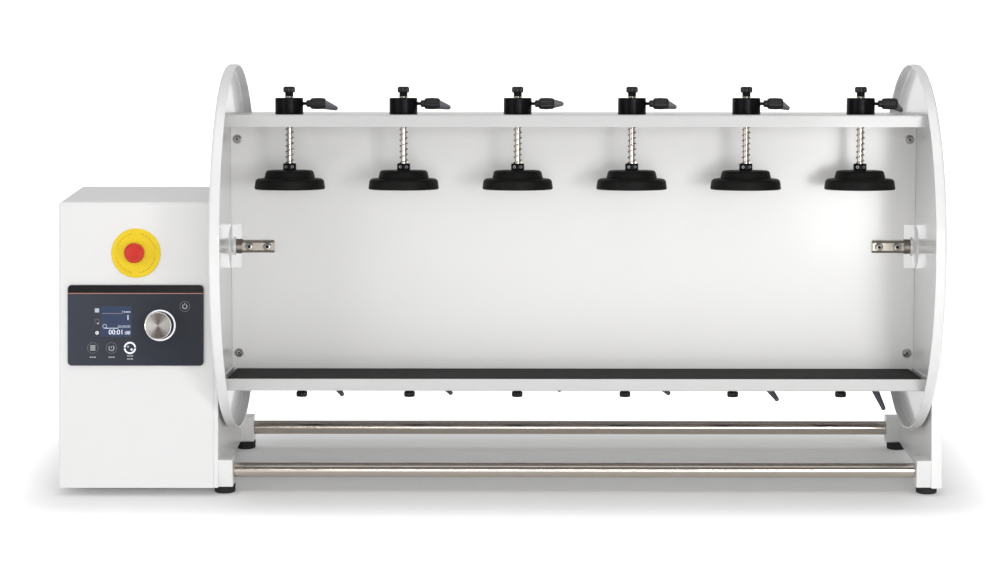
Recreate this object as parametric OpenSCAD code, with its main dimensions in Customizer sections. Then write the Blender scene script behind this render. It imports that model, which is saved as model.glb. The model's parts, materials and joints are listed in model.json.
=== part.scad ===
// Overhead rotator for twelve bottles: drive housing, end frame, and a rotor with spring-loaded clamps.
// Frame: millimetres, +Z up, -Y is the front, origin on the floor under the middle of the overall box.

/* [Rotor] */
// Height of the turning axis above the surface that the feet stand on
axis_h = 288; // [285:1:300]
// Angle at which the rotor has stopped, front edge up
stop_angle = 4.3; // [0:0.1:20]
// Diameter of the end discs
disc_d = 455; // [450:1:470]
// Distance between the outer faces of the end discs
disc_span = 860; // [850:1:900]
// Depth of the end disc rim
disc_rim = 13; // [8:0.5:16]
// Outer bend radius between a disc and its rim
disc_bend = 4; // [3:0.5:6]
// Sheet thickness of discs and shelves
sheet_t = 2; // [1.5:0.1:2.5]
// Diameter of the hub flange on each disc
hub_d = 54; // [46:1:60]
// Height of the hub inside each disc
hub_t = 6.5; // [5:0.5:8]
// Height at which the hub flange has narrowed to the hub's neck
hub_rise = 4.2; // [3:0.1:4.5]
// Diameter of the hub's neck
hub_neck_d = 22.4; // [21:0.1:30]
// Thickness of the web panel
web_t = 3; // [2:0.1:4]
// Depth of the notch beside each hub, beyond the hub flange
web_notch = 7.5; // [4:0.5:12]
// Half depth of the shelves
shelf_half = 132; // [126:1:140]
// Height of each shelf's outer face from the axis
shelf_h = 166.2; // [160:0.1:172]
// Height of the shelf lips
lip_h = 14.4; // [12:0.1:18]
// Thickness of the bay mats
mat_t = 10.6; // [6:0.1:11]
// Gap between a mat and the walls around it
mat_gap = 1; // [0.5:0.1:3]

/* [Stub shafts] */
// Diameter of the stub shafts
shaft_d = 18.4; // [16:0.1:20]
// Length of the milled bar on the web panel
bar_len = 40; // [36:1:50]
// Diameter that the milled bar is turned down to
bar_d = 16.4; // [15:0.1:18]
// Thickness of the milled bar
bar_t = 5; // [4:0.1:6.5]
// Distance between the two screws of a bar
bar_screw_pitch = 22.6; // [18:0.1:26]

/* [Clamps] */
// Clamps in a row
clamp_count = 6; // [4:1:6]
// Distance of the outermost clamp axes from the discs' inner faces
clamp_end_gap = 80.5; // [76:0.5:86]
// Distance of the clamp axes from the middle of the web panel
clamp_offset = 78; // [72:0.5:84]
// Diameter of the clamp body
clamp_body_d = 34.2; // [30:0.1:38]
// Height of the clamp body
clamp_body_h = 20; // [18:0.1:24]
// Diameter of the plunger rod
rod_d = 7.4; // [5:0.1:8]
// Diameter of the plunger knob
knob_d = 15.4; // [13:0.1:18]
// Height of the plunger knob
knob_h = 13.7; // [12:0.1:17]
// Diameter of the press pad at its foot
pad_d = 86; // [80:1:95]
// Diameter of the press pad's upper step
pad_step_d = 60; // [50:1:64]
// Height of the pad's lower step
pad_low_h = 13; // [12:0.5:18]
// Height of the pad's upper step
pad_up_h = 10; // [8:0.5:14]
// Distance from the axis to the foot of the pad
pad_foot_h = 75; // [70:0.5:78]
// Diameter of the collar above the pad
collar_d = 16; // [14:0.5:20]
// Height of the collar above the pad
collar_h = 8.5; // [7:0.5:11]
// Diameter of the nut under the shelf
nut_d = 20; // [18:0.5:26]
// Height of the nut under the shelf
nut_h = 9; // [6:0.5:10]

/* [Springs] */
// Wire diameter of the springs
wire_d = 1.3; // [1:0.1:1.6]
// Gap between a rod and the spring around it
spring_gap = 0.3; // [0.3:0.1:0.9]
// Turns of each spring
spring_turns = 7; // [6:1:7]

/* [Clamping levers] */
// Height of the lever stud above the shelf
stud_h = 13; // [11:0.1:14]
// Diameter of the lever stud
stud_d = 5.6; // [4:0.1:6]
// Length of the stud between the clamp body and the lever's neck
stud_show = 3.8; // [3:0.1:7]
// Diameter of the lever hub
lever_hub_d = 14.2; // [11:0.1:15]
// Length of the lever hub
lever_hub_len = 18.5; // [12:0.5:20]
// Length of the lever's neck
lever_neck_len = 5; // [3:0.5:6]
// Reach of the lever arm from the stud axis
lever_reach = 38; // [34:0.5:42]
// Sideways lean of the lever arm over its reach
lever_lean = 9.5; // [8:0.5:18]
// Width of the lever arm at its tip
lever_tip_d = 6; // [3.5:0.1:7]
// Turn of each front lever from straight away from the shelf, towards the web's side
front_lever_turn = [100, 98, 91, 97, 99, 103];
// Turn of each rear lever, counted in the same way
rear_lever_turn = [68, 71, 78, 71, 56, 18];

/* [Housing and frames] */
// Width of the housing cover
housing_w = 189; // [186:1:210]
// Height of the housing above its underside
housing_h = 344; // [335:1:360]
// Lean of the front face from the vertical
face_lean = 8.8; // [6:0.1:11]
// Lean of the rear face from the vertical
back_lean = 11.5; // [8:0.1:13]
// Distance from the axis to the front bottom edge
base_front = 136.5; // [134:0.5:145]
// Distance from the axis to the rear bottom edge
base_back = 150; // [148:1:160]
// Wall thickness of the housing sheet
wall = 2; // [1.5:0.1:2.5]
// Radius of the housing's rounded edges
edge_r = 5; // [3:0.5:8]
// Thickness of the drive-side frame
drive_side_t = 6; // [5:0.5:8]
// Thickness of the end-side frame
end_side_t = 13; // [12:0.5:18]
// Gap between a disc and its side frame
disc_gap = 4; // [3:0.5:8]
// Height of the rubber feet
foot_h = 10; // [8:0.5:14]
// Diameter of the rubber feet
foot_d = 26; // [20:0.5:28]
// Diameter of the tie rods
tie_d = 18; // [14:0.5:19]
// Distance from the axis to the front tie rod
tie_front = 113; // [110:0.5:116]
// Distance from the axis to the rear tie rod
tie_back = 132; // [128:0.5:134]
// Height of the tie rods above the frame's underside
tie_h = 17.4; // [16:0.1:20]
// Width of the foot blocks, across the frame
block_w = 17.5; // [14:0.5:24]
// Distance of a foot block's inner face from its tie rod's axis
block_in = 10; // [10:0.5:14]
// Height of the foot blocks
block_h = 33.5; // [32:0.5:40]

/* [Front face] */
// Width of the control panel
panel_w = 165.6; // [150:0.1:170]
// Height of the control panel
panel_h = 98.4; // [90:0.1:110]
// Thickness of the control panel
panel_t = 3; // [2:0.1:5]
// Corner radius of the control panel
panel_r = 5; // [2:0.5:8]
// Middle of the control panel from the housing's outer side
panel_x = 94.8; // [90:0.1:95]
// Middle of the control panel above the housing's underside, along the face
panel_z = 198; // [190:0.1:205]
// Diameter of the control knob
dial_d = 33.4; // [28:0.1:36]
// Height of the control knob
dial_h = 17; // [12:0.5:22]
// Diameter of the lit ring round the knob
dial_ring_d = 39; // [37:0.5:44]
// Thickness of the lit ring
dial_ring_t = 1; // [0.5:0.1:2]
// Offset of the knob to the right of the panel's middle
dial_dx = 29.8; // [24:0.1:32]
// Diameter of the yellow stop collar
stop_d = 60; // [50:1:66]
// Thickness of the yellow stop collar
stop_t = 2.5; // [2:0.1:4]
// Diameter of the red stop cap
cap_d = 24.5; // [22:0.5:32]
// Height of the red stop cap's head
cap_h = 12; // [9:0.5:16]
// Push of the stop cap
cap_travel = 4; // [3:0.5:5]
// Middle of the stop collar from the housing's outer side
stop_x = 95; // [88:0.5:100]
// Middle of the stop collar above the housing's underside, along the face
stop_z = 285.8; // [282:0.1:290]

/* [Hidden] */
$fn = 64;
numbers = [for (i = [1 : 2 * clamp_count]) str(i < 10 ? "0" : "", i)];
plunger_names = [for (n = numbers) str("plunger_", n)];
lever_names = [for (n = numbers) str("clamp_lever_", n)];
spring_names = [for (n = numbers) str("spring_", n)];
single_names = [
    "housing_shell", "chassis", "drive_side_frame", "end_side_frame", "rubber_feet", "tie_rods",
    "frame_screws", "shaft_bearings", "gear_motor", "control_electronics", "mains_inlet",
    "control_panel", "control_knob", "stop_collar", "stop_cap",
    "end_disc_left", "end_disc_right", "stub_shafts", "web_panel", "top_shelf", "bottom_shelf",
    "bay_mats", "clamp_bodies", "rotor_screws"
];

// Clearances that the whole part shares
running = 0.05;
seat_gap = 0.3;
past = 1;

// Places along the axis
total_w = housing_w + drive_side_t + 2 * disc_gap + disc_span + end_side_t;
left_x = -total_w / 2;
cover_end_x = left_x + housing_w;
drive_face_x = cover_end_x + drive_side_t;
rotor_x = drive_face_x + disc_gap + disc_span / 2;
end_face_x = rotor_x + disc_span / 2 + disc_gap;
right_x = total_w / 2;
frame_top = foot_h + housing_h;
tie_z = foot_h + tie_h;
shaft_r = shaft_d / 2;
rear_open_h = housing_h - 3 * edge_r;

// Rotor sizes
plate_x = disc_span / 2 - sheet_t;
hub_face_x = plate_x - hub_t;
notch_x = hub_face_x - web_notch;
bar_end_x = notch_x - bar_len;
shelf_in = shelf_h - sheet_t;
web_end_gap = 0.5;
hub_edge = 0.8;
clamp_pitch = 2 * (plate_x - clamp_end_gap) / (clamp_count - 1);
tab_len = 22;
tab_w = 30;
web_screw_in = 8.5;
web_screw_x = plate_x - web_screw_in;
web_screw_z = 134;
bar_screw_in = 9;
shaft_end_gap = 0.5;
shelf_screw_y = 95;
shaft_clear = 2;

// Clamp sizes
body_top = shelf_h + clamp_body_h;
nut_foot = shelf_in - nut_h;
pad_top = pad_foot_h + pad_low_h + pad_up_h;
collar_top = pad_top + collar_h;
body_bevel = 1;
knob_ring_h = 1.4;
knob_neck_in = 2.2;
knob_neck_h = 5;
knob_flare_h = 2;
knob_cap_t = 3;
knob_foot = body_top + seat_gap + knob_ring_h;
pad_foot_edge = 1;
pad_low_edge = [5, 3];
pad_low_taper = 2.5;
pad_up_edge = [3, 2];
pad_up_taper = 1;
rod_foot = pad_foot_h + pad_low_h;
neck_x = clamp_body_d / 2 + stud_show;
hub_x = neck_x + lever_neck_len;
lever_end_x = hub_x + lever_hub_len;
lever_root_in = 1.5;
lever_root_len = 11;
lever_neck_in = 2.8;
bush_d = 14;
washer_t = 1;

// Screws, as real sizes
m5_r = 2.5;
m5_head_r = 4.75;
m5_head_h = 2.8;
m5_washer_r = 6;
m6_r = 3;
m6_head_r = 5;
m6_head_h = 3.5;
m6_nut_r = 5.5;
m6_nut_h = 5;
m6_key_r = 2.4;
m8_r = 4;
m8_head_r = 6.5;
m8_head_h = 8;
m8_grip = 24;
m8_end_gap = 2;

// Bearings, motor and the seats that they share
bearing_r = 18.5;
bearing_w = 9;
bearing_lip = 2;
foot_taper = 0.3;
boss_r = 28;
boss_t = bearing_w + bearing_lip - drive_side_t;
gearbox = [44, 66, 66];
gearbox_bore = 36;
motor_r = 28;
motor_len = 74;

// Stop switch and knob stems
barrel_r = 11;
barrel_len = 24;
bezel_r = 15.5;
bezel_h = 3.5;
ring_nut_t = 5;
cap_stem_r = 8;
cap_stem_len = 22;
cap_edge = [1, 2];
dial_stem_r = 3;
dial_edge = [0.5, 1];
dial_ring_in = 2;

// Electronics
board_t = 1.6;
board_back = 16;
board_margin = 8;
window_margin = 12;
standoff_r = 2.5;
display_size = [62, 9, 44];
display_dx = 29.9;
display_dz = 4;
supply_size = [110, 96, 38];
supply_x = 42;

// Mains inlet on the rear panel
inlet_w = 48;
inlet_h = 27;
inlet_depth = 26;
inlet_cavity = [25, 22, 17];
inlet_pin = [2, 12, 4];
inlet_pin_dx = 7;
inlet_pin_dz = 4;
inlet_lip = 2.5;
inlet_x = 60;
inlet_z = 58;
vent_count = 8;
vent_pitch = 9;
vent_size = [90, 3];
vent_x = 48;
vent_z = 190;

white = "whitesmoke";
steel = "silver";
black = [0.06, 0.06, 0.07];
rubber = [0.1, 0.1, 0.1];

// A cylinder along +X from x0 to x1
module xcyl(r, x0, x1) {
    translate([x0, 0, 0])
        rotate([0, 90, 0])
            cylinder(h = x1 - x0, r = r);
}

// A cylinder along Y from y0 to y1
module ycyl(r, y0, y1) {
    translate([0, y1, 0])
        rotate([90, 0, 0])
            cylinder(h = y1 - y0, r = r);
}

// The rotor's frame: X along the axis from the middle, -Y to the front, Z up, at the stopped angle
module in_rotor() {
    translate([rotor_x, 0, axis_h])
        rotate([-stop_angle, 0, 0])
            children();
}

// The frame of clamp i: Z away from its shelf along the plunger; the rear row is the front row turned half a turn
module at_clamp(i) {
    column = i % clamp_count;
    in_rotor()
        rotate([i < clamp_count ? 0 : 180, 0, 0])
            translate([(column - (clamp_count - 1) / 2) * clamp_pitch, -clamp_offset, 0])
                children();
}

// The leaning front face: X from the housing's outer side, Z up along the face, -Y outwards
module on_face() {
    translate([left_x, -base_front, foot_h])
        rotate([-face_lean, 0, 0])
            children();
}

// The leaning rear face: X as seen from the front, Z up along the face, +Y outwards
module on_back() {
    translate([left_x, base_back, foot_h])
        rotate([back_lean, 0, 0])
            children();
}

// Side profile as points [y, z], drawn in by the distance d, with its foot at the height z0
function profile(d, z0) = let (
    z1 = frame_top - d,
    front = function (z) -base_front + (z - foot_h) * tan(face_lean) + d / cos(face_lean),
    back = function (z) base_back - (z - foot_h) * tan(back_lean) - d / cos(back_lean)
) [[front(z0), z0], [front(z1), z1], [back(z1), z1], [back(z0), z0]];

// A slab with the side profile, from x0 to x1
module profile_slab(x0, x1, d, z0) {
    translate([x0, 0, 0])
        rotate([90, 0, 90])
            linear_extrude(x1 - x0)
                polygon(profile(d, z0));
}

module housing_outer() {
    foot = profile(edge_r, foot_h - 2 * edge_r);
    hull() {
        for (p = foot) {
            translate([left_x + edge_r, p[0], p[1]])
                sphere(r = edge_r, $fn = 32);
            translate([cover_end_x - edge_r, p[0], p[1]])
                rotate([0, 90, 0])
                    cylinder(h = edge_r, r = edge_r, $fn = 32);
        }
    }
}

module housing_shell() {
    cut = base_front + base_back;
    color(white)
        difference() {
            housing_outer();
            profile_slab(left_x + wall, cover_end_x + past, wall, foot_h - 2 * edge_r - past);
            translate([left_x - past, -cut, -cut])
                cube([housing_w + 2 * past, 2 * cut, cut + foot_h]);
            on_back()
                translate([wall, -wall - past, -cut / 2])
                    cube([housing_w, 2 * wall + 3 * past, rear_open_h + cut / 2]);
            on_face() {
                translate([stop_x, 0, stop_z])
                    ycyl(barrel_r + running, -past, wall + past);
                translate([panel_x - panel_w / 2 + window_margin, -past, panel_z - panel_h / 2 + window_margin])
                    cube([panel_w - 2 * window_margin, wall + 2 * past, panel_h - 2 * window_margin]);
            }
        }
}

// Base plate and rear panel, bent from one sheet, inside the cover's walls
module chassis() {
    x0 = left_x + wall + running;
    x1 = cover_end_x - running;
    y0 = profile(wall + running, foot_h + wall)[0][0];
    color(white)
        difference() {
            union() {
                translate([x0, y0, foot_h])
                    cube([x1 - x0, base_back - y0 - wall, wall]);
                on_back()
                    translate([x0 - left_x, -wall, 0])
                        cube([x1 - x0, wall, rear_open_h - seat_gap]);
            }
            translate([x0 - past, 0, -foot_h])
                cube([housing_w, 2 * base_back, 2 * foot_h]);
            on_back() {
                translate([inlet_x - inlet_w / 2 - running, -wall - past, inlet_z - inlet_h / 2 - running])
                    cube([inlet_w + 2 * running, wall + 2 * past, inlet_h + 2 * running]);
                for (i = [0 : vent_count - 1])
                    translate([vent_x, -wall - past, vent_z + i * vent_pitch])
                        cube([vent_size[0], wall + 2 * past, vent_size[1]]);
            }
        }
}

// Two foot blocks from x0 on, each flush with the leaning edge of its side frame at the block's top
module foot_blocks(x0) {
    front = -base_front + block_h * tan(face_lean);
    back = base_back - block_h * tan(back_lean);
    translate([x0, front, foot_h])
        cube([block_w, block_in - tie_front - front, block_h]);
    translate([x0, tie_back - block_in, foot_h])
        cube([block_w, back - tie_back + block_in, block_h]);
}

// Screw and rod holes at both tie rods, from x0 to x1
module tie_holes(r, x0, x1) {
    for (y = [-tie_front, tie_back])
        translate([0, y, tie_z])
            xcyl(r, x0, x1);
}

module drive_side_frame() {
    color(white)
        difference() {
            union() {
                profile_slab(cover_end_x, drive_face_x, 0, foot_h);
                foot_blocks(drive_face_x);
            }
            translate([0, 0, axis_h]) {
                xcyl(bearing_r, cover_end_x - past, drive_face_x - bearing_lip);
                xcyl(shaft_r + shaft_clear, cover_end_x - past, drive_face_x + past);
            }
            tie_holes(m8_r + running, cover_end_x - past, drive_face_x + block_w + past);
        }
}

module end_side_frame() {
    color(white)
        difference() {
            union() {
                profile_slab(end_face_x, right_x, 0, foot_h);
                foot_blocks(end_face_x - block_w);
            }
            translate([0, 0, axis_h])
                xcyl(bearing_r, end_face_x - past, end_face_x + bearing_w);
            tie_holes(m8_r + running, end_face_x - block_w - past, right_x + past);
            tie_holes(m8_head_r + seat_gap, right_x - m8_head_h, right_x + past);
        }
}

// Feet in the middle under each side frame with its blocks
module rubber_feet() {
    color(rubber)
        for (x = [(cover_end_x + drive_face_x + block_w) / 2, (end_face_x - block_w + right_x) / 2])
            for (y = [-tie_front, tie_back])
                translate([x, y, 0])
                    cylinder(h = foot_h, r1 = foot_d / 2 - foot_taper, r2 = foot_d / 2);
}

module tie_rods() {
    x0 = drive_face_x + block_w;
    x1 = end_face_x - block_w;
    color(steel)
        difference() {
            tie_holes(tie_d / 2, x0, x1);
            tie_holes(m8_r + running, x0 - past, x0 + m8_grip);
            tie_holes(m8_r + running, x1 - m8_grip, x1 + past);
        }
}

// A cap screw along +X with its head's outer face at x = 0
module cap_screw(r, len, head_r, head_h) {
    difference() {
        union() {
            xcyl(head_r, 0, head_h);
            xcyl(r, head_h, head_h + len);
        }
        xcyl(head_r / 2, -past, head_h / 2, $fn = 6);
    }
}

module frame_screws() {
    reach = m8_grip - m8_end_gap;
    color(steel)
        for (y = [-tie_front, tie_back]) {
            translate([cover_end_x - m8_head_h, y, tie_z])
                cap_screw(m8_r, drive_side_t + block_w + reach, m8_head_r, m8_head_h);
            translate([right_x, y, tie_z])
                rotate([0, 0, 180])
                    cap_screw(m8_r, end_side_t - m8_head_h + block_w + reach, m8_head_r, m8_head_h);
        }
}

module bearing(x0) {
    translate([0, 0, axis_h])
        difference() {
            xcyl(bearing_r, x0, x0 + bearing_w);
            xcyl(shaft_r + running, x0 - past, x0 + bearing_w + past);
        }
}

// Ring on the drive-side frame's inner face that carries the rest of its bearing's width
module bearing_boss() {
    translate([0, 0, axis_h])
        difference() {
            xcyl(boss_r, cover_end_x - boss_t, cover_end_x);
            xcyl(bearing_r + running, cover_end_x - boss_t - past, cover_end_x + past);
        }
}

module shaft_bearings() {
    color(steel) {
        bearing(drive_face_x - bearing_lip - bearing_w);
        bearing(end_face_x);
        bearing_boss();
    }
}

module gear_motor() {
    x1 = cover_end_x - boss_t;
    x0 = x1 - gearbox[0];
    color("dimgray")
        translate([0, 0, axis_h])
            difference() {
                union() {
                    translate([x0, -gearbox[1] / 2, -gearbox[2] / 2])
                        cube(gearbox);
                    xcyl(motor_r, x0 - motor_len, x0);
                }
                xcyl(shaft_r + running, x1 - gearbox_bore, x1 + past);
            }
}

// Board behind the panel window, its display module and standoffs, and the supply on the base plate
module control_electronics() {
    x0 = panel_x - panel_w / 2 + board_margin;
    z0 = panel_z - panel_h / 2 + board_margin;
    size = [panel_w - 2 * board_margin, board_t, panel_h - 2 * board_margin];
    color("darkgreen") {
        on_face() {
            translate([x0, board_back, z0])
                cube(size);
            translate([
                panel_x - display_dx - display_size[0] / 2, board_back - display_size[1],
                panel_z + display_dz - display_size[2] / 2
            ])
                cube(display_size);
        }
        translate([left_x + supply_x, -supply_size[1] / 2, foot_h + wall])
            cube(supply_size);
    }
    color("silver")
        on_face()
            for (s = [-1, 1])
                for (z = [z0 + 2 * standoff_r, z0 + size[2] - 2 * standoff_r])
                    translate([panel_x + s * (panel_w / 2 - window_margin + standoff_r), 0, z])
                        ycyl(standoff_r, wall, board_back);
}

module mains_inlet() {
    color(black)
        on_back()
            translate([inlet_x, 0, inlet_z]) {
                difference() {
                    union() {
                        translate([-inlet_w / 2, -inlet_depth, -inlet_h / 2])
                            cube([inlet_w, inlet_depth, inlet_h]);
                        translate([-inlet_w / 2 - inlet_lip, 0, -inlet_h / 2 - inlet_lip])
                            cube([inlet_w + 2 * inlet_lip, inlet_lip, inlet_h + 2 * inlet_lip]);
                    }
                    translate([-inlet_cavity[0] / 2, inlet_lip - inlet_cavity[1], -inlet_cavity[2] / 2])
                        cube([inlet_cavity[0], inlet_cavity[1] + past, inlet_cavity[2]]);
                }
                for (p = [[-inlet_pin_dx, -inlet_pin_dz / 2], [0, inlet_pin_dz / 2], [inlet_pin_dx, -inlet_pin_dz / 2]])
                    translate([p[0] - inlet_pin[0] / 2, inlet_lip - inlet_cavity[1], p[1] - inlet_pin[2] / 2])
                        cube(inlet_pin);
            }
}

// A plate with round corners, from y = 0 outwards to -t
module round_plate(w, h, t, r) {
    translate([-w / 2 + r, -t, -h / 2])
        cube([w - 2 * r, t, h]);
    translate([-w / 2, -t, -h / 2 + r])
        cube([w, t, h - 2 * r]);
    for (x = [-w / 2 + r, w / 2 - r])
        for (z = [-h / 2 + r, h / 2 - r])
            translate([x, 0, z])
                ycyl(r, -t, 0);
}

module control_panel() {
    color([0.12, 0.14, 0.17])
        on_face()
            difference() {
                translate([panel_x, 0, panel_z])
                    round_plate(panel_w, panel_h, panel_t, panel_r);
                translate([panel_x + dial_dx, 0, panel_z])
                    ycyl(dial_stem_r + running, -panel_t - past, past);
            }
    color("white")
        on_face()
            translate([panel_x + dial_dx, 0, panel_z])
                difference() {
                    ycyl(dial_ring_d / 2, -panel_t - dial_ring_t, -panel_t);
                    ycyl(dial_d / 2 - dial_ring_in, -panel_t - dial_ring_t - past, -panel_t + past);
                }
}

module control_knob() {
    foot = panel_t + dial_ring_t + seat_gap;
    color(steel)
        on_face()
            translate([panel_x + dial_dx, 0, panel_z]) {
                ycyl(dial_d / 2, -foot - dial_h + dial_edge[1], -foot);
                ycyl(dial_d / 2 - dial_edge[0], -foot - dial_h, -foot - dial_h + dial_edge[1]);
                ycyl(dial_stem_r, -foot, board_back - seat_gap);
            }
}

module stop_collar() {
    color("gold")
        on_face()
            translate([stop_x, 0, stop_z])
                difference() {
                    union() {
                        ycyl(stop_d / 2, -stop_t, 0);
                        ycyl(bezel_r, -stop_t - bezel_h, -stop_t);
                        ycyl(barrel_r, 0, barrel_len);
                    }
                    ycyl(cap_stem_r + running, -stop_t - bezel_h - past, barrel_len + past);
                }
    color(black)
        on_face()
            translate([stop_x, 0, stop_z])
                difference() {
                    ycyl(bezel_r, wall, wall + ring_nut_t);
                    ycyl(barrel_r + running, wall - past, wall + ring_nut_t + past);
                }
}

module stop_cap() {
    foot = stop_t + bezel_h + cap_travel + seat_gap;
    color("red")
        on_face()
            translate([stop_x, 0, stop_z]) {
                ycyl(cap_d / 2, -foot - cap_h + cap_edge[1], -foot);
                ycyl(cap_d / 2 - cap_edge[0], -foot - cap_h, -foot - cap_h + cap_edge[1]);
                ycyl(cap_stem_r, -foot, cap_stem_len - foot);
            }
}

// Hub on the inner face of the left disc: a flange that narrows to a neck round the shaft
module hub() {
    translate([-plate_x, 0, 0])
        rotate([0, 90, 0]) {
            cylinder(h = hub_edge, r = hub_d / 2);
            translate([0, 0, hub_edge])
                cylinder(h = hub_rise - hub_edge, r1 = hub_d / 2, r2 = hub_neck_d / 2);
            translate([0, 0, hub_rise])
                cylinder(h = hub_t - hub_rise, r = hub_neck_d / 2);
        }
}

// An end disc with its rim, hub and two web tabs, on the left side of the rotor's frame
module end_disc(tab_side) {
    r = disc_d / 2;
    color(white)
        difference() {
            union() {
                translate([-disc_span / 2, 0, 0])
                    rotate([0, 90, 0])
                        rotate_extrude($fn = 180)
                            difference() {
                                union() {
                                    square([r - disc_bend, disc_rim]);
                                    translate([0, disc_bend])
                                        square([r, disc_rim - disc_bend]);
                                    translate([r - disc_bend, disc_bend])
                                        circle(r = disc_bend);
                                }
                                translate([-past, sheet_t])
                                    square([r - sheet_t + past, disc_rim]);
                            }
                hub();
                for (z = [-web_screw_z, web_screw_z])
                    translate([-plate_x, tab_side * (web_t / 2 + sheet_t / 2) - sheet_t / 2, z - tab_w / 2])
                        cube([tab_len, sheet_t, tab_w]);
            }
            xcyl(shaft_r + running, -disc_span / 2 - past, -hub_face_x + past);
            for (z = [-web_screw_z, web_screw_z])
                translate([-web_screw_x, 0, z])
                    ycyl(m5_r + running, -web_t - sheet_t, web_t + sheet_t);
            for (turn = [0, 180])
                rotate([turn, 0, 0])
                    for (y = [-shelf_screw_y, shelf_screw_y])
                        translate([-disc_span / 2, y, shelf_in - lip_h / 2])
                            xcyl(m5_r + running, -past, 2 * sheet_t);
        }
}

module end_disc_left() {
    in_rotor()
        end_disc(1);
}

module end_disc_right() {
    in_rotor()
        rotate([0, 0, 180])
            end_disc(-1);
}

// A stub shaft on the left side of the rotor's frame, out to x0
module stub_shaft(x0, front) {
    difference() {
        union() {
            xcyl(shaft_r, x0, -notch_x);
            xcyl(bar_d / 2, -hub_face_x, -bar_end_x);
        }
        translate([-notch_x, 0, -shaft_d]) {
            translate([0, front > 0 ? -web_t / 2 : -shaft_d, 0])
                cube([bar_len + past, shaft_d + web_t / 2, 2 * shaft_d]);
            translate([0, front > 0 ? -shaft_d - web_t / 2 - bar_t : web_t / 2 + bar_t, 0])
                cube([bar_len + past, shaft_d, 2 * shaft_d]);
        }
        for (x = [bar_screw_in, bar_screw_in + bar_screw_pitch])
            translate([-notch_x + x, 0, 0])
                ycyl(m6_r + running, -shaft_d, shaft_d);
    }
}

module stub_shafts() {
    motor_end = cover_end_x - boss_t - gearbox_bore + shaft_end_gap - rotor_x;
    bearing_end = rotor_x - end_face_x - bearing_w + shaft_end_gap;
    color(steel)
        in_rotor() {
            stub_shaft(motor_end, 1);
            rotate([0, 0, 180])
                stub_shaft(bearing_end, -1);
        }
}

module web_panel() {
    x1 = plate_x - web_end_gap;
    color(white)
        in_rotor()
            difference() {
                union() {
                    translate([-x1, -web_t / 2, -shelf_in])
                        cube([2 * x1, web_t, 2 * shelf_in]);
                    for (turn = [0, 180])
                        rotate([turn, 0, 0])
                            translate([-notch_x, -lip_h, shelf_in - sheet_t])
                                cube([2 * notch_x, lip_h, sheet_t]);
                }
                for (s = [-1, 1]) {
                    for (z = [-shelf_in, shelf_in])
                        translate([s * plate_x, 0, z])
                            cube([2 * (sheet_t + seat_gap), 2 * web_t, 2 * (lip_h - sheet_t + seat_gap)], center = true);
                    translate([s * (notch_x + (x1 - notch_x + past) / 2), 0, 0])
                        cube([x1 - notch_x + past, 2 * web_t, hub_d + 2 * seat_gap], center = true);
                    for (x = [bar_screw_in, bar_screw_in + bar_screw_pitch])
                        translate([s * (notch_x - x), 0, 0])
                            ycyl(m6_r + running, -web_t, web_t);
                    for (z = [-web_screw_z, web_screw_z])
                        translate([s * web_screw_x, 0, z])
                            ycyl(m5_r + running, -web_t, web_t);
                }
            }
}

// One shelf as a tray with lips on all four sides, its outer face up
module shelf() {
    x1 = plate_x;
    row_x = (clamp_count - 1) / 2;
    color(white)
        difference() {
            translate([-x1, -shelf_half, shelf_h - lip_h])
                cube([2 * x1, 2 * shelf_half, lip_h]);
            translate([-x1 + sheet_t, -shelf_half + sheet_t, shelf_h - lip_h - past])
                cube([2 * x1 - 2 * sheet_t, 2 * shelf_half - 2 * sheet_t, lip_h - sheet_t + past]);
            for (i = [0 : clamp_count - 1])
                translate([(i - row_x) * clamp_pitch, -clamp_offset, shelf_in - past])
                    cylinder(h = sheet_t + 2 * past, r = bush_d / 2 + running);
            for (s = [-1, 1])
                for (y = [-shelf_screw_y, shelf_screw_y])
                    translate([s * x1, y, shelf_in - lip_h / 2])
                        xcyl(m5_r + running, -2 * sheet_t, 2 * sheet_t);
        }
}

module top_shelf() {
    in_rotor()
        shelf();
}

module bottom_shelf() {
    in_rotor()
        rotate([180, 0, 0])
            shelf();
}

// The front bay's mat lies on the bottom shelf; the rear bay's mat is the same, turned half a turn
module bay_mats() {
    x1 = plate_x - sheet_t - m5_head_h - mat_gap;
    y0 = -shelf_half + sheet_t + mat_gap;
    y1 = -web_t / 2 - mat_gap;
    color(rubber)
        in_rotor()
            for (turn = [0, 180])
                rotate([turn, 0, 0])
                    translate([-x1, y0, -shelf_in])
                        cube([2 * x1, y1 - y0, mat_t]);
}

module clamp_bodies() {
    color(black)
        for (i = [0 : 2 * clamp_count - 1])
            at_clamp(i)
                difference() {
                    union() {
                        translate([0, 0, shelf_h])
                            cylinder(h = clamp_body_h - body_bevel, r = clamp_body_d / 2);
                        translate([0, 0, body_top - body_bevel])
                            cylinder(h = body_bevel, r1 = clamp_body_d / 2, r2 = clamp_body_d / 2 - body_bevel);
                        translate([0, 0, nut_foot])
                            cylinder(h = nut_h + sheet_t, r = bush_d / 2);
                        translate([0, 0, nut_foot])
                            difference() {
                                cylinder(h = nut_h, r = nut_d / 2);
                                translate([0, 0, -past])
                                    cylinder(h = nut_h + 2 * past, r = bush_d / 2 + running);
                            }
                    }
                    translate([0, 0, nut_foot - past])
                        cylinder(h = body_top - nut_foot + 2 * past, r = rod_d / 2 + running);
                    translate([0, 0, shelf_h + stud_h])
                        xcyl(stud_d / 2 + running, 0, clamp_body_d);
                }
}

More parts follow.
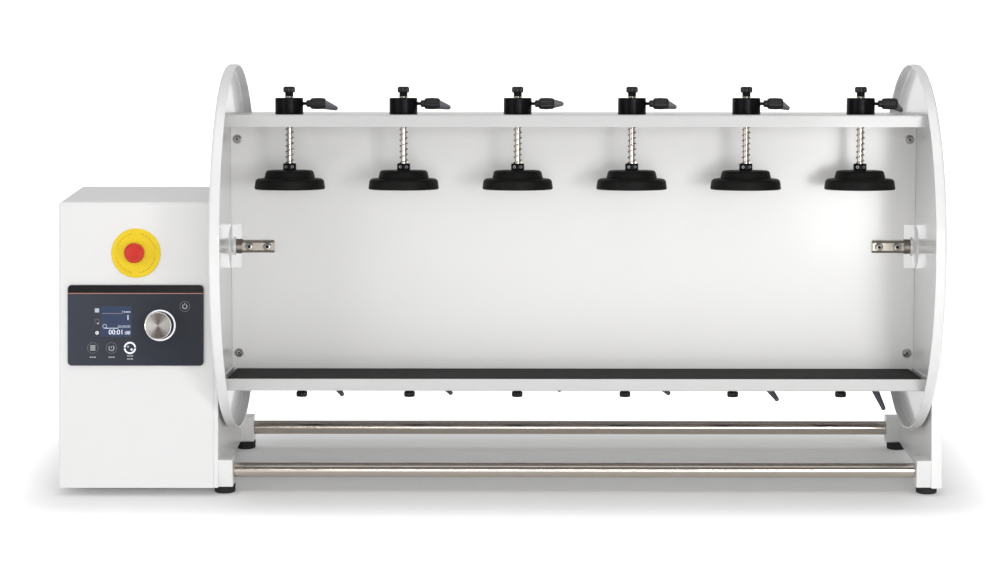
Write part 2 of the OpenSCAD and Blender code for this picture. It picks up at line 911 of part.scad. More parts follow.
// Screws of the web panel, the stub shafts and the shelves
module rotor_screws() {
    web_reach = web_t + 2 * sheet_t;
    color(steel)
        in_rotor() {
            for (s = [-1, 1]) {
                for (z = [-web_screw_z, web_screw_z])
                    translate([s * web_screw_x, -web_t / 2, z]) {
                        ycyl(m5_washer_r, -washer_t, 0);
                        ycyl(m5_head_r, -washer_t - m5_head_h, -washer_t);
                        ycyl(m5_r, 0, web_reach);
                    }
                for (x = [bar_screw_in, bar_screw_in + bar_screw_pitch])
                    translate([s * (notch_x - x), 0, 0]) {
                        difference() {
                            ycyl(m6_head_r, -web_t / 2 - bar_t - m6_head_h, -web_t / 2 - bar_t);
                            ycyl(m6_key_r, -web_t / 2 - bar_t - m6_head_h - past, -web_t / 2 - bar_t - past, $fn = 6);
                        }
                        ycyl(m6_r, -web_t / 2 - bar_t, web_t / 2 + m6_nut_h);
                        difference() {
                            ycyl(m6_nut_r, web_t / 2, web_t / 2 + m6_nut_h, $fn = 6);
                            ycyl(m6_r, 0, web_t + m6_nut_h);
                        }
                    }
            }
            for (turn = [0, 180])
                rotate([turn, 0, 0])
                    for (s = [0, 180])
                        rotate([0, 0, s])
                            for (y = [-shelf_screw_y, shelf_screw_y])
                                translate([-plate_x + sheet_t, y, shelf_in - lip_h / 2]) {
                                    xcyl(m5_head_r, 0, m5_head_h);
                                    xcyl(m5_r, -2 * sheet_t, 0);
                                }
        }
}

// Knob head on a narrower neck, its edges flared
module plunger_knob() {
    head_r = knob_d / 2;
    neck_r = head_r - knob_neck_in;
    flare_z = knob_foot + knob_neck_h;
    edge_z = body_top + knob_h - knob_flare_h;
    translate([0, 0, knob_foot])
        cylinder(h = knob_neck_h, r = neck_r);
    translate([0, 0, flare_z])
        cylinder(h = knob_flare_h, r1 = neck_r, r2 = head_r);
    translate([0, 0, flare_z + knob_flare_h])
        cylinder(h = edge_z - flare_z - knob_flare_h, r = head_r);
    translate([0, 0, edge_z])
        cylinder(h = knob_flare_h, r1 = head_r, r2 = neck_r);
}

// Press pad of two steps with sloped shoulders
module press_pad() {
    step_z = pad_foot_h + pad_low_h;
    low_r = pad_d / 2;
    up_r = pad_step_d / 2;
    rotate_extrude()
        polygon([
            [0, pad_foot_h], [low_r - pad_foot_edge, pad_foot_h], [low_r, pad_foot_h + pad_foot_edge],
            [low_r - pad_low_taper, step_z - pad_low_edge[1]], [low_r - pad_low_edge[0], step_z],
            [up_r, step_z], [up_r - pad_up_taper, pad_top - pad_up_edge[1]],
            [up_r - pad_up_edge[0], pad_top], [0, pad_top]
        ]);
}

// Rod, knob, collar and press pad of one clamp: they slide together
module plunger(i) {
    at_clamp(i) {
        color(steel) {
            translate([0, 0, rod_foot + running])
                cylinder(h = body_top + knob_h - knob_cap_t - rod_foot - 2 * running, r = rod_d / 2);
            translate([0, 0, body_top + seat_gap])
                difference() {
                    cylinder(h = knob_ring_h - running, r = knob_d / 2 - knob_neck_in);
                    translate([0, 0, -past])
                        cylinder(h = knob_ring_h + 2 * past, r = rod_d / 2 + running);
                }
        }
        color(black) {
            difference() {
                plunger_knob();
                translate([0, 0, knob_foot - past])
                    cylinder(h = body_top + knob_h - knob_cap_t - knob_foot + past, r = rod_d / 2 + running);
            }
            difference() {
                translate([0, 0, pad_top + running])
                    cylinder(h = collar_h - running, r = collar_d / 2);
                translate([0, 0, pad_top - past])
                    cylinder(h = collar_h + 2 * past, r = rod_d / 2 + running);
            }
        }
        color(rubber)
            difference() {
                press_pad();
                translate([0, 0, rod_foot])
                    cylinder(h = pad_up_h + past, r = rod_d / 2 + running);
            }
    }
}

// The turn of lever i from straight away from its shelf
function lever_turn(i) = i < clamp_count ? front_lever_turn[i] : rear_lever_turn[i - clamp_count];

// Clamping lever: stud, neck, hub and an arm that tapers both ways to a round tip
module clamp_lever(i) {
    tip_x = lever_end_x + lever_lean;
    tip_z = lever_reach - lever_tip_d / 2;
    root = lever_hub_d / 2 - lever_root_in;
    color(black)
        at_clamp(i)
            translate([0, 0, shelf_h + stud_h])
                rotate([-lever_turn(i), 0, 0]) {
                    xcyl(stud_d / 2, rod_d / 2 + seat_gap, neck_x);
                    xcyl(lever_hub_d / 2 - lever_neck_in, neck_x, hub_x);
                    xcyl(lever_hub_d / 2, hub_x, lever_end_x);
                    intersection() {
                        translate([0, root, 0])
                            rotate([90, 0, 0])
                                linear_extrude(2 * root) {
                                    polygon([
                                        [lever_end_x - lever_root_len, 0], [lever_end_x, 0],
                                        [tip_x + lever_tip_d / 2, tip_z], [tip_x - lever_tip_d / 2, tip_z]
                                    ]);
                                    translate([tip_x, tip_z])
                                        circle(r = lever_tip_d / 2);
                                }
                        translate([hub_x, 0, 0])
                            rotate([90, 0, 90])
                                linear_extrude(lever_hub_len + lever_lean + lever_tip_d) {
                                    polygon([
                                        [-root, 0], [root, 0],
                                        [lever_tip_d / 2, tip_z], [-lever_tip_d / 2, tip_z]
                                    ]);
                                    translate([0, tip_z])
                                        circle(r = lever_tip_d / 2);
                                }
                    }
                }
}

// A spring is one helical tube with rings of six points; its ends run straight along the axis for one wire diameter
rings_per_turn = 8;
ring_sides = 6;
coil_r = rod_d / 2 + spring_gap + wire_d / 2;
coil_foot = collar_top + wire_d;
coil_pitch = (nut_foot - wire_d - coil_foot) / spring_turns;
coil_steps = spring_turns * rings_per_turn;
coil_centres = [
    for (k = [0 : coil_steps])
        let (a = 360 * k / rings_per_turn)
            [coil_r * cos(a), coil_r * sin(a), coil_foot + coil_pitch * k / rings_per_turn]
];
spring_centres = concat([[coil_r, 0, collar_top]], coil_centres, [[coil_r, 0, nut_foot]]);
last_ring = len(spring_centres) - 1;

function unit(v) = v / norm(v);

// Direction of the tube at ring k, as the mean of the steps on both sides
function tube_way(k) =
    k == 0 || k == last_ring ? [0, 0, 1]
    : unit(unit(spring_centres[k] - spring_centres[k - 1]) + unit(spring_centres[k + 1] - spring_centres[k]));

function ring_points(k) = let (
    c = spring_centres[k],
    way = tube_way(k),
    out = unit([c[0], c[1], 0]),
    side = unit(cross(way, out)),
    flat = unit(cross(side, way))
) [for (s = [0 : ring_sides - 1]) c + wire_d / 2 * (cos(360 * s / ring_sides) * flat + sin(360 * s / ring_sides) * side)];

spring_points = [for (k = [0 : last_ring]) each ring_points(k)];
spring_faces = concat(
    [for (k = [0 : last_ring - 1])
        for (s = [0 : ring_sides - 1])
            let (a = k * ring_sides + s, b = k * ring_sides + (s + 1) % ring_sides)
                each [[a, a + ring_sides, b + ring_sides], [a, b + ring_sides, b]]],
    [for (s = [1 : ring_sides - 2]) [0, s, s + 1]],
    [for (s = [1 : ring_sides - 2]) [last_ring * ring_sides, last_ring * ring_sides + s + 1, last_ring * ring_sides + s]]
);

spring_self_gap = min([
    for (a = [0 : coil_steps - rings_per_turn + 2])
        for (b = [a + rings_per_turn - 2 : coil_steps])
            norm(coil_centres[a] - coil_centres[b]) - wire_d
]);
echo(spring_self_gap = spring_self_gap);

module spring(i) {
    color(steel)
        at_clamp(i)
            polyhedron(points = spring_points, faces = spring_faces);
}

housing_shell();
chassis();
drive_side_frame();
end_side_frame();
rubber_feet();
tie_rods();
frame_screws();
shaft_bearings();
gear_motor();
control_electronics();
mains_inlet();
control_panel();
control_knob();
stop_collar();
stop_cap();
end_disc_left();
end_disc_right();
stub_shafts();
web_panel();
top_shelf();
bottom_shelf();
bay_mats();
clamp_bodies();
rotor_screws();
for (i = [0 : 2 * clamp_count - 1]) {
    plunger(i);
    clamp_lever(i);
    spring(i);
}
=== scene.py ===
"""Looks of the overhead rotator: painted sheet, clamps, springs and front face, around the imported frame."""

import json
import math

import bmesh
import bpy
from mathutils import Matrix, Vector


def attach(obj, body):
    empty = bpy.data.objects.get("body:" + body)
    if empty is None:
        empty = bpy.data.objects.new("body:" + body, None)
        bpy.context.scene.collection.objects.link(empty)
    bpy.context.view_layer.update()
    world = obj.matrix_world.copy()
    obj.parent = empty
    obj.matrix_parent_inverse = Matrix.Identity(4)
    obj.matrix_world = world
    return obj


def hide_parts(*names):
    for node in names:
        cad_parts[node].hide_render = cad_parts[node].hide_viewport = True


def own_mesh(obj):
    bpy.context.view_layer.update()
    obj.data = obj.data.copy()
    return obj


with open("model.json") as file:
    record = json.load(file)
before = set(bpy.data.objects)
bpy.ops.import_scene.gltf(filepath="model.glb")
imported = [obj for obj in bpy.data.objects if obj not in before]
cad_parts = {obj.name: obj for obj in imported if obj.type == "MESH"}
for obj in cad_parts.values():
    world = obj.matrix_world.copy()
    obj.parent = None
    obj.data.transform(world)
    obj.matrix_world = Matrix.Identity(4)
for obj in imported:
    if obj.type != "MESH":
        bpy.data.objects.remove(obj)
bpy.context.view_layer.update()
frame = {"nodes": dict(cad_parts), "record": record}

MM = 0.001

# Sizes and places of the construction model, in millimetres and degrees
AXIS_H = 288.0
STOP_ANGLE = 4.3
ROTOR_X = 91.0
LEFT_X = -538.0
COVER_END = -349.0
DRIVE_FACE = -343.0
END_FACE = 525.0
RIGHT_X = 538.0
FOOT_H = 10.0
FACE_LEAN = 8.8
BASE_FRONT = 136.5
TIE_FRONT = 113.0
TIE_BACK = 132.0
TIE_Z = 27.4
TIE_R = 9.0
BLOCK_W = 17.5
FOOT_R = 13.0
DISC_R = 227.5
DISC_RIM = 13.0
SPAN = 860.0
SHEET = 2.0
PLATE_X = SPAN / 2 - SHEET
HUB_R = 27.0
HUB_T = 6.5
HUB_NECK_R = 11.2
NOTCH_X = PLATE_X - HUB_T - 7.5
WEB_T = 3.0
WEB_SCREW_X = PLATE_X - 8.5
WEB_SCREW_Z = 134.0
TAB_W = 30.0
TAB_L = 22.0
SHELF_HALF = 132.0
SHELF_H = 166.2
SHELF_IN = SHELF_H - SHEET
LIP_H = 14.4
MAT_T = 10.6
SHELF_SCREW_Y = 95.0
SHAFT_R = 9.2
BAR_T = 5.0
BAR_SCREWS = (9.0, 31.6)
CLAMPS = 6
CLAMP_PITCH = 139.0
CLAMP_OFFSET = 78.0
BODY_R = 17.1
BODY_TOP = SHELF_H + 20.0
BUSH_R = 7.0
NUT_R = 10.0
NUT_FOOT = SHELF_IN - 9.0
PAD_FOOT = 75.0
PAD_R = 43.0
PAD_TOP = 98.0
STEP_Z = PAD_TOP - 10.0
COLLAR_TOP = 106.5
COLLAR_R = 8.0
ROD_R = 3.7
KNOB_R = 7.7
KNOB_NECK_R = 5.25
KNOB_TOP = BODY_TOP + 13.7
STUD_Z = SHELF_H + 13.0
NECK_X = 20.9
HUB_X = 25.9
LEVER_END = 44.4
LEVER_LEAN = 9.5
LEVER_REACH = 38.0
LEVER_TIP_R = 3.0
LEVER_TURNS = (100, 98, 91, 97, 99, 103, 68, 71, 78, 71, 56, 18)
SPRING_R = 4.65
WIRE_R = 0.65
SPRING_TURNS = 7

# On the front face, from its left lower corner: the panel's middle, width and height, and the stop's middle
PANEL = (94.8, 198.0, 165.6, 98.4)
PANEL_T = 3.0
PANEL_BAND = 9.9
DIAL_X = 124.6
DIAL_R = 16.7
DIAL_H = 17.0
STOP_AT = (95.0, 285.8)
STOP_R = 30.0
STOP_PLATE_T = 2.5
STOP_TOP = 6.0
STOP_CAP_H = 12.0

# Screw heads: radius, height, size of the key's socket, dome
BUTTON_HEAD = (4.75, 2.8, 1.7, 1.6)
BAR_HEAD = (5.0, 3.5, 2.4, 0.8)
SET_SCREW = (1.9, 0.32, 1.0, 0.1)

BODY = {name: body for body, names in frame["record"]["behaviour"]["bodies"].items() for name in names}


# ---- placing
def shift(x=0.0, y=0.0, z=0.0):
    """A move in millimetres."""
    return Matrix.Translation((x, y, z))


def turn(degrees, axis):
    return Matrix.Rotation(math.radians(degrees), 4, axis)


WORLD = Matrix.Identity(4)
ROTOR = shift(ROTOR_X, 0, AXIS_H) @ turn(-STOP_ANGLE, "X")
FACE = shift(LEFT_X, -BASE_FRONT, FOOT_H) @ turn(-FACE_LEAN, "X")
OUT = turn(90, "X")
ALONG_X = turn(90, "Y")


def clamp_place(index):
    """Z away from the shelf along the plunger; the rear row is the front row turned half a turn."""
    column = index % CLAMPS - (CLAMPS - 1) / 2
    half = turn(0 if index < CLAMPS else 180, "X")
    return ROTOR @ half @ shift(column * CLAMP_PITCH, -CLAMP_OFFSET, 0)


# ---- finishes
class Value:
    """A number that varies over a surface; its operators add Math nodes."""

    def __init__(self, graph, socket):
        self.graph = graph
        self.socket = socket

    def math(self, operation, first, second=None):
        return self.graph.node("ShaderNodeMath", {"operation": operation}, {0: first, 1: second})

    def __add__(self, other):
        return self.math("ADD", self, other)

    __radd__ = __add__

    def __mul__(self, other):
        return self.math("MULTIPLY", self, other)

    __rmul__ = __mul__

    def __sub__(self, other):
        return self.math("SUBTRACT", self, other)

    def __rsub__(self, other):
        return self.math("SUBTRACT", other, self)

    def __pow__(self, other):
        return self.math("POWER", self, other)

    def above(self, level, width):
        """0 below the level and 1 above it, over a soft width."""
        soft = {"clamp": True, "interpolation_type": "SMOOTHSTEP"}
        limits = {"From Min": level - width, "From Max": level + width}
        return self.graph.node("ShaderNodeMapRange", soft, {"Value": self, **limits})

    def beyond(self, level):
        """How far the size of the number goes past the level."""
        return self.math("MAXIMUM", self.math("ABSOLUTE", self) - level, 0.0)


class Graph:
    """The nodes of one material or world."""

    def __init__(self, tree):
        self.tree = tree

    def node(self, kind, settings=None, values=None, out=0):
        made = self.tree.nodes.new(kind)
        for key, value in (settings or {}).items():
            setattr(made, key, value)
        for key, value in (values or {}).items():
            self.put(made.inputs[key], value)
        return Value(self, made.outputs[out])

    def put(self, socket, value):
        if value is None:
            return
        if isinstance(value, Value):
            self.tree.links.new(value.socket, socket)
        elif isinstance(value, tuple) and len(value) == 3 and socket.type == "RGBA":
            socket.default_value = (*value, 1.0)
        else:
            socket.default_value = value

    def parts(self, vector):
        """The three numbers of a vector."""
        split = self.node("ShaderNodeSeparateXYZ", None, {0: vector}).socket.node
        return [Value(self, socket) for socket in split.outputs]

    def seen_by(self, ray):
        return self.node("ShaderNodeLightPath", out=ray)


class Finish(Graph):
    """One surface finish: a Principled shader, its constants, and the nodes that vary it."""

    def __init__(self, name, **constants):
        self.material = bpy.data.materials.new(name)
        self.material.use_nodes = True
        super().__init__(self.material.node_tree)
        self.shader = self.tree.nodes["Principled BSDF"]
        self.drive(**constants)

    def drive(self, **values):
        for socket, value in values.items():
            self.put(self.shader.inputs[socket.replace("_", " ")], value)

    def place(self, stretch=(1.0, 1.0, 1.0)):
        """Object coordinates in metres, stretched."""
        where = self.node("ShaderNodeTexCoord", out="Object")
        return self.node("ShaderNodeVectorMath", {"operation": "MULTIPLY"}, {0: where, 1: stretch})

    def noise(self, size, detail=3.0, stretch=(1.0, 1.0, 1.0), roughness=0.5, where=None):
        """Noise whose features are about `size` metres, over the stretched place or another vector."""
        values = {"Vector": where or self.place(stretch), "Scale": 1.0 / size}
        return self.node("ShaderNodeTexNoise", None, {**values, "Detail": detail, "Roughness": roughness})

    def rings(self, scale, distortion, detail):
        """Turned rings round the piece's own Z axis."""
        kind = {"wave_type": "RINGS", "rings_direction": "Z", "wave_profile": "SIN"}
        values = {"Vector": self.place(), "Scale": scale, "Distortion": distortion, "Detail": detail}
        return self.node("ShaderNodeTexWave", kind, values)

    def mix(self, factor, low, high):
        return self.node("ShaderNodeMix", {"data_type": "RGBA"}, {"Factor": factor, 6: low, 7: high}, 2)

    def bump(self, height, distance):
        self.drive(Normal=self.node("ShaderNodeBump", None, {"Height": height, "Distance": distance}))


def shaded(colour, by):
    return tuple(c * by for c in colour)


def clouded(name, low, high, cloud, fine, roughness, gain, relief, **constants):
    """A colour that drifts between two shades, with a fine grain in its roughness and relief."""
    f = Finish(name, **constants)
    grain = f.noise(*fine)
    f.drive(Base_Color=f.mix(f.noise(*cloud), low, high), Roughness=roughness + gain * grain)
    f.bump(grain, relief)
    return f.material


def painted_white(name, low, high, coat=0.25, coat_roughness=0.12, roughness=0.30):
    """Powder coat: a soft orange peel, the faintest cloud in the colour."""
    coats = {"Coat_Weight": coat, "Coat_Roughness": coat_roughness}
    return clouded(name, low, high, (0.09, 2.0), (0.0016, 2.0), roughness, 0.10, 0.00005, **coats)


def ground_steel(name, colour, across, roughness=0.24, grain=0.0004):
    """Bar or wire stock, with the grinding lines that its stretch gives."""
    f = Finish(name, Metallic=1.0)
    lines = f.noise(grain, 3.0, across, 0.6)
    cloud = f.noise(0.02, 2.0)
    f.drive(Base_Color=f.mix(lines * 0.6 + cloud * 0.4, shaded(colour, 0.84), colour))
    f.drive(Roughness=roughness + 0.10 * lines)
    f.bump(lines, 0.00002)
    return f.material


def anodised_black(name):
    """Gloss black on turned aluminium, with faint turning lines and a little wear."""
    f = Finish(name, Specular_IOR_Level=0.08)
    grain = f.noise(0.0005, 2.0, (1, 1, 0.15))
    wear = f.noise(0.006, 3.0).above(0.66, 0.08)
    f.drive(Base_Color=f.mix(wear, (0.004, 0.004, 0.005), (0.011, 0.011, 0.013)))
    f.drive(Roughness=0.25 + 0.10 * grain)
    f.bump(grain, 0.00001)
    return f.material


def moulded_black(name, shade=0.012, roughness=0.36, grain=0.0006, shine=0.4):
    shine = {"Specular_IOR_Level": shine}
    low, high = (shade * 0.75,) * 3, (shade * 1.25,) * 3
    return clouded(name, low, high, (0.012, 2.0), (grain, 3.0), roughness, 0.16, 0.00005, **shine)


def moulded_colour(name, low, high, roughness, coat=0.0):
    gloss = {"Coat_Weight": coat, "Coat_Roughness": 0.15, "Specular_IOR_Level": 0.3}
    return clouded(name, low, high, (0.02, 3.0), (0.0005, 2.0), roughness, 0.10, 0.00003, **gloss)


def mat_rubber(name):
    low, high, shine = (0.010, 0.010, 0.009), (0.020, 0.019, 0.018), {"Specular_IOR_Level": 0.25}
    return clouded(name, low, high, (0.03, 4.0), (0.0012, 4.0), 0.68, 0.20, 0.00025, **shine)


def grooved_rubber(name):
    """Pressed rubber with fine turned rings from its mould, a little dust in them."""
    f = Finish(name, Specular_IOR_Level=0.14)
    fine = f.noise(0.0007, 3.0)
    dust = f.noise(0.014, 3.0)
    f.drive(Base_Color=f.mix(dust, (0.004, 0.004, 0.004), (0.009, 0.009, 0.008)))
    f.drive(Roughness=0.42 + 0.20 * fine)
    f.bump(f.rings(110.0, 0.3, 1.0) * 0.7 + fine * 0.3, 0.00014)
    return f.material


def turned_face(name):
    """The knob's face, cut in fine rings round its middle, so that lamps draw rays across it; bright and dark
    rays are also painted into its colour as painted highlight and shade.
    """
    f = Finish(name, Metallic=1.0, Anisotropic=0.6)
    rings = f.rings(900.0, 1.2, 2.0)
    across, up, _ = f.parts(f.place())
    ray = f.node("ShaderNodeVectorMath", {"operation": "NORMALIZE"}, {0: f.place((1.0, 1.0, 0.0))})
    # painted highlight and shade: rays fixed to the face, bright to the sides and dark above and below
    painted_ray_streaks = f.noise(0.25, 4.0, roughness=0.6, where=ray)
    level = across * across - up * up
    span = across * across + up * up + 1e-8
    painted_light_rays = (level.math("DIVIDE", level, span) * 0.5 + painted_ray_streaks * 0.5).above(0.22, 0.60)
    f.drive(Base_Color=f.mix(painted_light_rays, (0.12, 0.097, 0.088), (0.52, 0.50, 0.48)))
    f.drive(Roughness=0.26 + 0.10 * rings)
    f.bump(rings, 0.00001)
    return f.material


def panel_glass(name):
    """Back-printed clear front: dark blue grey, with a painted sheen that makes it lighter to the left, and
    the faintest smear.
    """
    f = Finish(name, Coat_Weight=0.25, Coat_Roughness=0.05)
    across = f.parts(f.place())[0]
    smear = f.noise(0.03, 3.0)
    # painted sheen: lighter to the left, darker to the right, with a little smear mixed in
    side = across.above(-0.452, 0.10) * 0.9 + smear * 0.1
    f.drive(Base_Color=f.mix(side, (0.055, 0.061, 0.078), (0.020, 0.024, 0.035)))
    f.drive(Roughness=0.14 + 0.08 * smear)
    return f.material


def lit(name, colour, strength, base=0.4):
    """A lamp that glows a little through the panel, or a print given a painted glow."""
    f = Finish(name, Roughness=0.3, Emission_Strength=strength, Specular_IOR_Level=0.3)
    wash = f.noise(0.004, 2.0)
    dim = shaded(colour, 0.90)
    f.drive(Base_Color=f.mix(wash, shaded(dim, base), shaded(colour, base)))
    f.drive(Emission_Color=f.mix(wash, dim, colour))
    return f.material


def printed(name, colour, roughness=0.35):
    f = Finish(name, Specular_IOR_Level=0.4)
    fine = f.noise(0.0004, 2.0)
    f.drive(Base_Color=f.mix(fine, shaded(colour, 0.9), colour))
    f.drive(Roughness=roughness + 0.1 * fine)
    return f.material


WHITE = painted_white("powder_coat_white", (0.835, 0.835, 0.83), (0.865, 0.865, 0.86))
# the web's white is a little warmer, and lighter than the housing's as painted light in the shaded bay
WEB_LIT_WHITE = painted_white("web_white_painted_light", (0.855, 0.85, 0.84), (0.885, 0.88, 0.872))
# the trays' white is painted darker grey as painted shade on the shelves and their lips
TRAY_SHADED_WHITE = painted_white("tray_white_painted_shade", (0.56, 0.555, 0.555), (0.60, 0.595, 0.59))
DISC_WHITE = painted_white("disc_gloss_white", (0.84, 0.84, 0.838), (0.865, 0.865, 0.862), 0.45, 0.07, 0.26)
TUBE_STEEL = ground_steel("tie_rod_steel", (0.62, 0.56, 0.50), (0.02, 1, 1), 0.12)
SHAFT_STEEL = ground_steel("shaft_steel", (0.34, 0.31, 0.27), (1, 0.1, 0.1), 0.28)
ROD_STEEL = ground_steel("rod_steel", (0.60, 0.55, 0.50), (1, 1, 0.1), 0.10)
SPRING_STEEL = ground_steel("spring_steel", (0.60, 0.53, 0.46), (1, 1, 1), 0.18, 0.001)
SCREW_STEEL = ground_steel("screw_steel", (0.40, 0.39, 0.37), (1, 1, 1), 0.26, 0.0008)
# socket wells: black as painted shade in the screws' recesses
SCREW_WELL_SHADE = moulded_black("screw_well_painted_shade", 0.010, 0.6)
BLACK_METAL = anodised_black("anodised_black")
BLACK_MOULDED = moulded_black("moulded_black")
BLACK_LEVER = moulded_black("lever_black", 0.010, 0.32)
# the lever arm's lighter grey is a painted sheen of the light above
LEVER_ARM_SHEEN = moulded_colour("lever_arm", (0.105, 0.105, 0.130), (0.150, 0.150, 0.180), 0.36)
FOOT_RUBBER = moulded_black("foot_rubber", 0.016, 0.62, 0.001)
PAD_RUBBER = grooved_rubber("pad_rubber")
MAT_RUBBER = mat_rubber("mat_rubber")
# the knob face's colour carries painted highlight rays
KNOB_FACE = turned_face("turned_steel_painted_rays")
KNOB_RIM = ground_steel("knob_rim", (0.80, 0.78, 0.76), (1, 1, 0.05), 0.14, 0.0003)
KNOB_SIDE = moulded_black("knob_side", 0.005, 0.5, 0.0004, 0.1)
YELLOW = moulded_colour("stop_yellow", (0.86, 0.63, 0.012), (0.91, 0.68, 0.018), 0.42)
RED = moulded_colour("stop_red", (0.58, 0.022, 0.012), (0.66, 0.032, 0.018), 0.30, 0.15)
TICK_BROWN = printed("tick_brown", (0.12, 0.08, 0.02), 0.5)
BOARD_GREEN = moulded_colour("board_green", (0.012, 0.10, 0.03), (0.03, 0.16, 0.06), 0.4)
MOTOR_GREY = moulded_colour("motor_grey", (0.10, 0.10, 0.105), (0.16, 0.16, 0.165), 0.45)
INLET_BLACK = moulded_black("inlet_black", 0.018, 0.4)
PANEL_FINISHES = {
    "glass": panel_glass("panel_glass"),
    "strip": printed("strip_black", (0.010, 0.010, 0.011), 0.16),
    # the accent line is a print; its glow is a painted glow
    "orange": lit("accent_line_painted_glow", (0.62, 0.27, 0.23), 0.52, 0.45),
    "screen": lit("screen_edge", (0.052, 0.057, 0.076), 0.6, 0.3),
    "row": lit("screen_row", (0.045, 0.068, 0.140), 0.6, 0.3),
    "pink": lit("screen_line", (0.34, 0.26, 0.31), 0.45),
    "white": lit("screen_white", (0.86, 0.90, 1.0), 0.9),
    "ring": lit("ring_white", (0.93, 0.93, 1.0), 0.85),
    "grey": printed("key_grey", (0.20, 0.20, 0.22)),
    "light": printed("key_light", (0.62, 0.62, 0.64)),
    "dim": lit("screen_grey", (0.52, 0.57, 0.68), 0.7),
}
TONE = {name: number for number, name in enumerate(PANEL_FINISHES)}


# ---- forms
def rounded(points, steps=5):
    """A path of (a, b, radius) corners with each corner rounded."""
    path = []
    for index, (a, b, radius) in enumerate(points):
        here = Vector((a, b))
        if radius <= 0 or index in (0, len(points) - 1):
            path.append(here)
            continue
        before = (Vector(points[index - 1][:2]) - here).normalized()
        after = (Vector(points[index + 1][:2]) - here).normalized()
        half = before.angle(after) / 2
        reach = radius / math.tan(half)
        start, end = here + before * reach, here + after * reach
        middle = here + (before + after).normalized() * (radius / math.sin(half))
        low, high = start - middle, end - middle
        sweep = low.angle_signed(high)
        for step in range(steps + 1):
            path.append(middle + Matrix.Rotation(-sweep * step / steps, 2) @ low)
    return path


def hollow(points, steps=5):
    """A rounded path that ends where it starts, for a piece with a bore."""
    path = rounded(points, steps)
    return path + path[:1]


def polygon(r, sides):
    corners = [2 * math.pi * k / sides for k in range(sides)]
    return [(r * math.cos(a), r * math.sin(a)) for a in corners]


def tube(rings, sides):
    """Faces of a run of rings of points, closed over its two ends."""
    faces, last = [], (rings - 1) * sides
    for low in range(0, last, sides):
        for k in range(sides):
            n = (k + 1) % sides
            faces.append((low + k, low + n, low + sides + n, low + sides + k))
    return faces + [tuple(range(sides))[::-1], tuple(range(last, last + sides))]


class Form:
    """Points and faces of one piece in millimetres, each face with the number of its finish."""

    def __init__(self):
        self.points = []
        self.faces = []
        self.tones = []

    def add(self, points, faces, place=WORLD, tone=0):
        base = len(self.points)
        self.points += [place @ Vector(p) for p in points]
        self.faces += [[base + i for i in face] for face in faces]
        self.tones += [tone] * len(faces)
        return self

    def turned(self, path, place=WORLD, tone=0, sides=48, lobes=None):
        """A path of (radius, height) turned round Z; lobes(angle, height) scales the radius."""
        rings, points, faces = [], [], []
        for radius, height in path:
            if radius < 1e-6:
                rings.append([len(points)] * sides)
                points.append((0, 0, height))
                continue
            rings.append(list(range(len(points), len(points) + sides)))
            for k in range(sides):
                angle = 2 * math.pi * k / sides
                r = radius * (lobes(angle, height) if lobes else 1.0)
                points.append((r * math.cos(angle), r * math.sin(angle), height))
        for low, high in zip(rings, rings[1:]):
            for k in range(sides):
                n = (k + 1) % sides
                face = list(dict.fromkeys((low[k], low[n], high[n], high[k])))
                if len(face) > 2:
                    faces.append(face)
        return self.add(points, faces, place, tone)

    def solid(self, mesh, place=WORLD, tone=0):
        """Adds a bmesh and frees it."""
        mesh.verts.index_update()
        points = [v.co.copy() for v in mesh.verts]
        faces = [[v.index for v in f.verts] for f in mesh.faces]
        mesh.free()
        return self.add(points, faces, place, tone)

    def box(self, low, high, edge=0.4, place=WORLD, tone=0, steps=2):
        """A box between two corners, its edges rounded."""
        mesh = bmesh.new()
        bmesh.ops.create_cube(mesh, size=1.0)
        size = Vector(high) - Vector(low)
        middle = (Vector(high) + Vector(low)) / 2
        bmesh.ops.scale(mesh, vec=size, verts=mesh.verts)
        bmesh.ops.translate(mesh, vec=middle, verts=mesh.verts)
        if edge > 0:
            soften(mesh, mesh.edges[:], edge, steps)
        return self.solid(mesh, place, tone)

    def slab(self, outline, low, high, edge=0.4, place=WORLD, tone=0, steps=2):
        """An outline in X and Y, raised from low to high, its rim edges rounded."""
        mesh = bmesh.new()
        foot = [mesh.verts.new((p[0], p[1], low)) for p in outline]
        top = [mesh.verts.new((p[0], p[1], high)) for p in outline]
        caps = [mesh.faces.new(foot[::-1]), mesh.faces.new(top)]
        for k in range(len(outline)):
            n = (k + 1) % len(outline)
            mesh.faces.new((foot[k], foot[n], top[n], top[k]))
        bmesh.ops.recalc_face_normals(mesh, faces=mesh.faces)
        if edge > 0:
            soften(mesh, list({e for cap in caps for e in cap.edges}), edge, steps)
        return self.solid(mesh, place, tone)

    def strand(self, centres, radius, place=WORLD, tone=0, sides=8):
        """A tube along the points, closed at its ends."""
        points = []
        for k, centre in enumerate(centres):
            before = centres[max(k - 1, 0)]
            after = centres[min(k + 1, len(centres) - 1)]
            way = (Vector(after) - Vector(before)).normalized()
            out = Vector((centre[0], centre[1], 0)).normalized()
            side = way.cross(out).normalized()
            flat = side.cross(way).normalized()
            for a, b in polygon(radius, sides):
                points.append(Vector(centre) + a * flat + b * side)
        return self.add(points, tube(len(centres), sides), place, tone)

    def mesh(self, name, finishes, sharp=32.0):
        made = bpy.data.meshes.new(name)
        made.from_pydata([tuple(p * MM) for p in self.points], [], self.faces)
        for finish in finishes:
            made.materials.append(finish)
        made.polygons.foreach_set("material_index", self.tones)
        welded = bmesh.new()
        welded.from_mesh(made)
        bmesh.ops.remove_doubles(welded, verts=welded.verts, dist=1e-6)
        bmesh.ops.recalc_face_normals(welded, faces=welded.faces)
        welded.to_mesh(made)
        welded.free()
        return smooth(made, sharp)


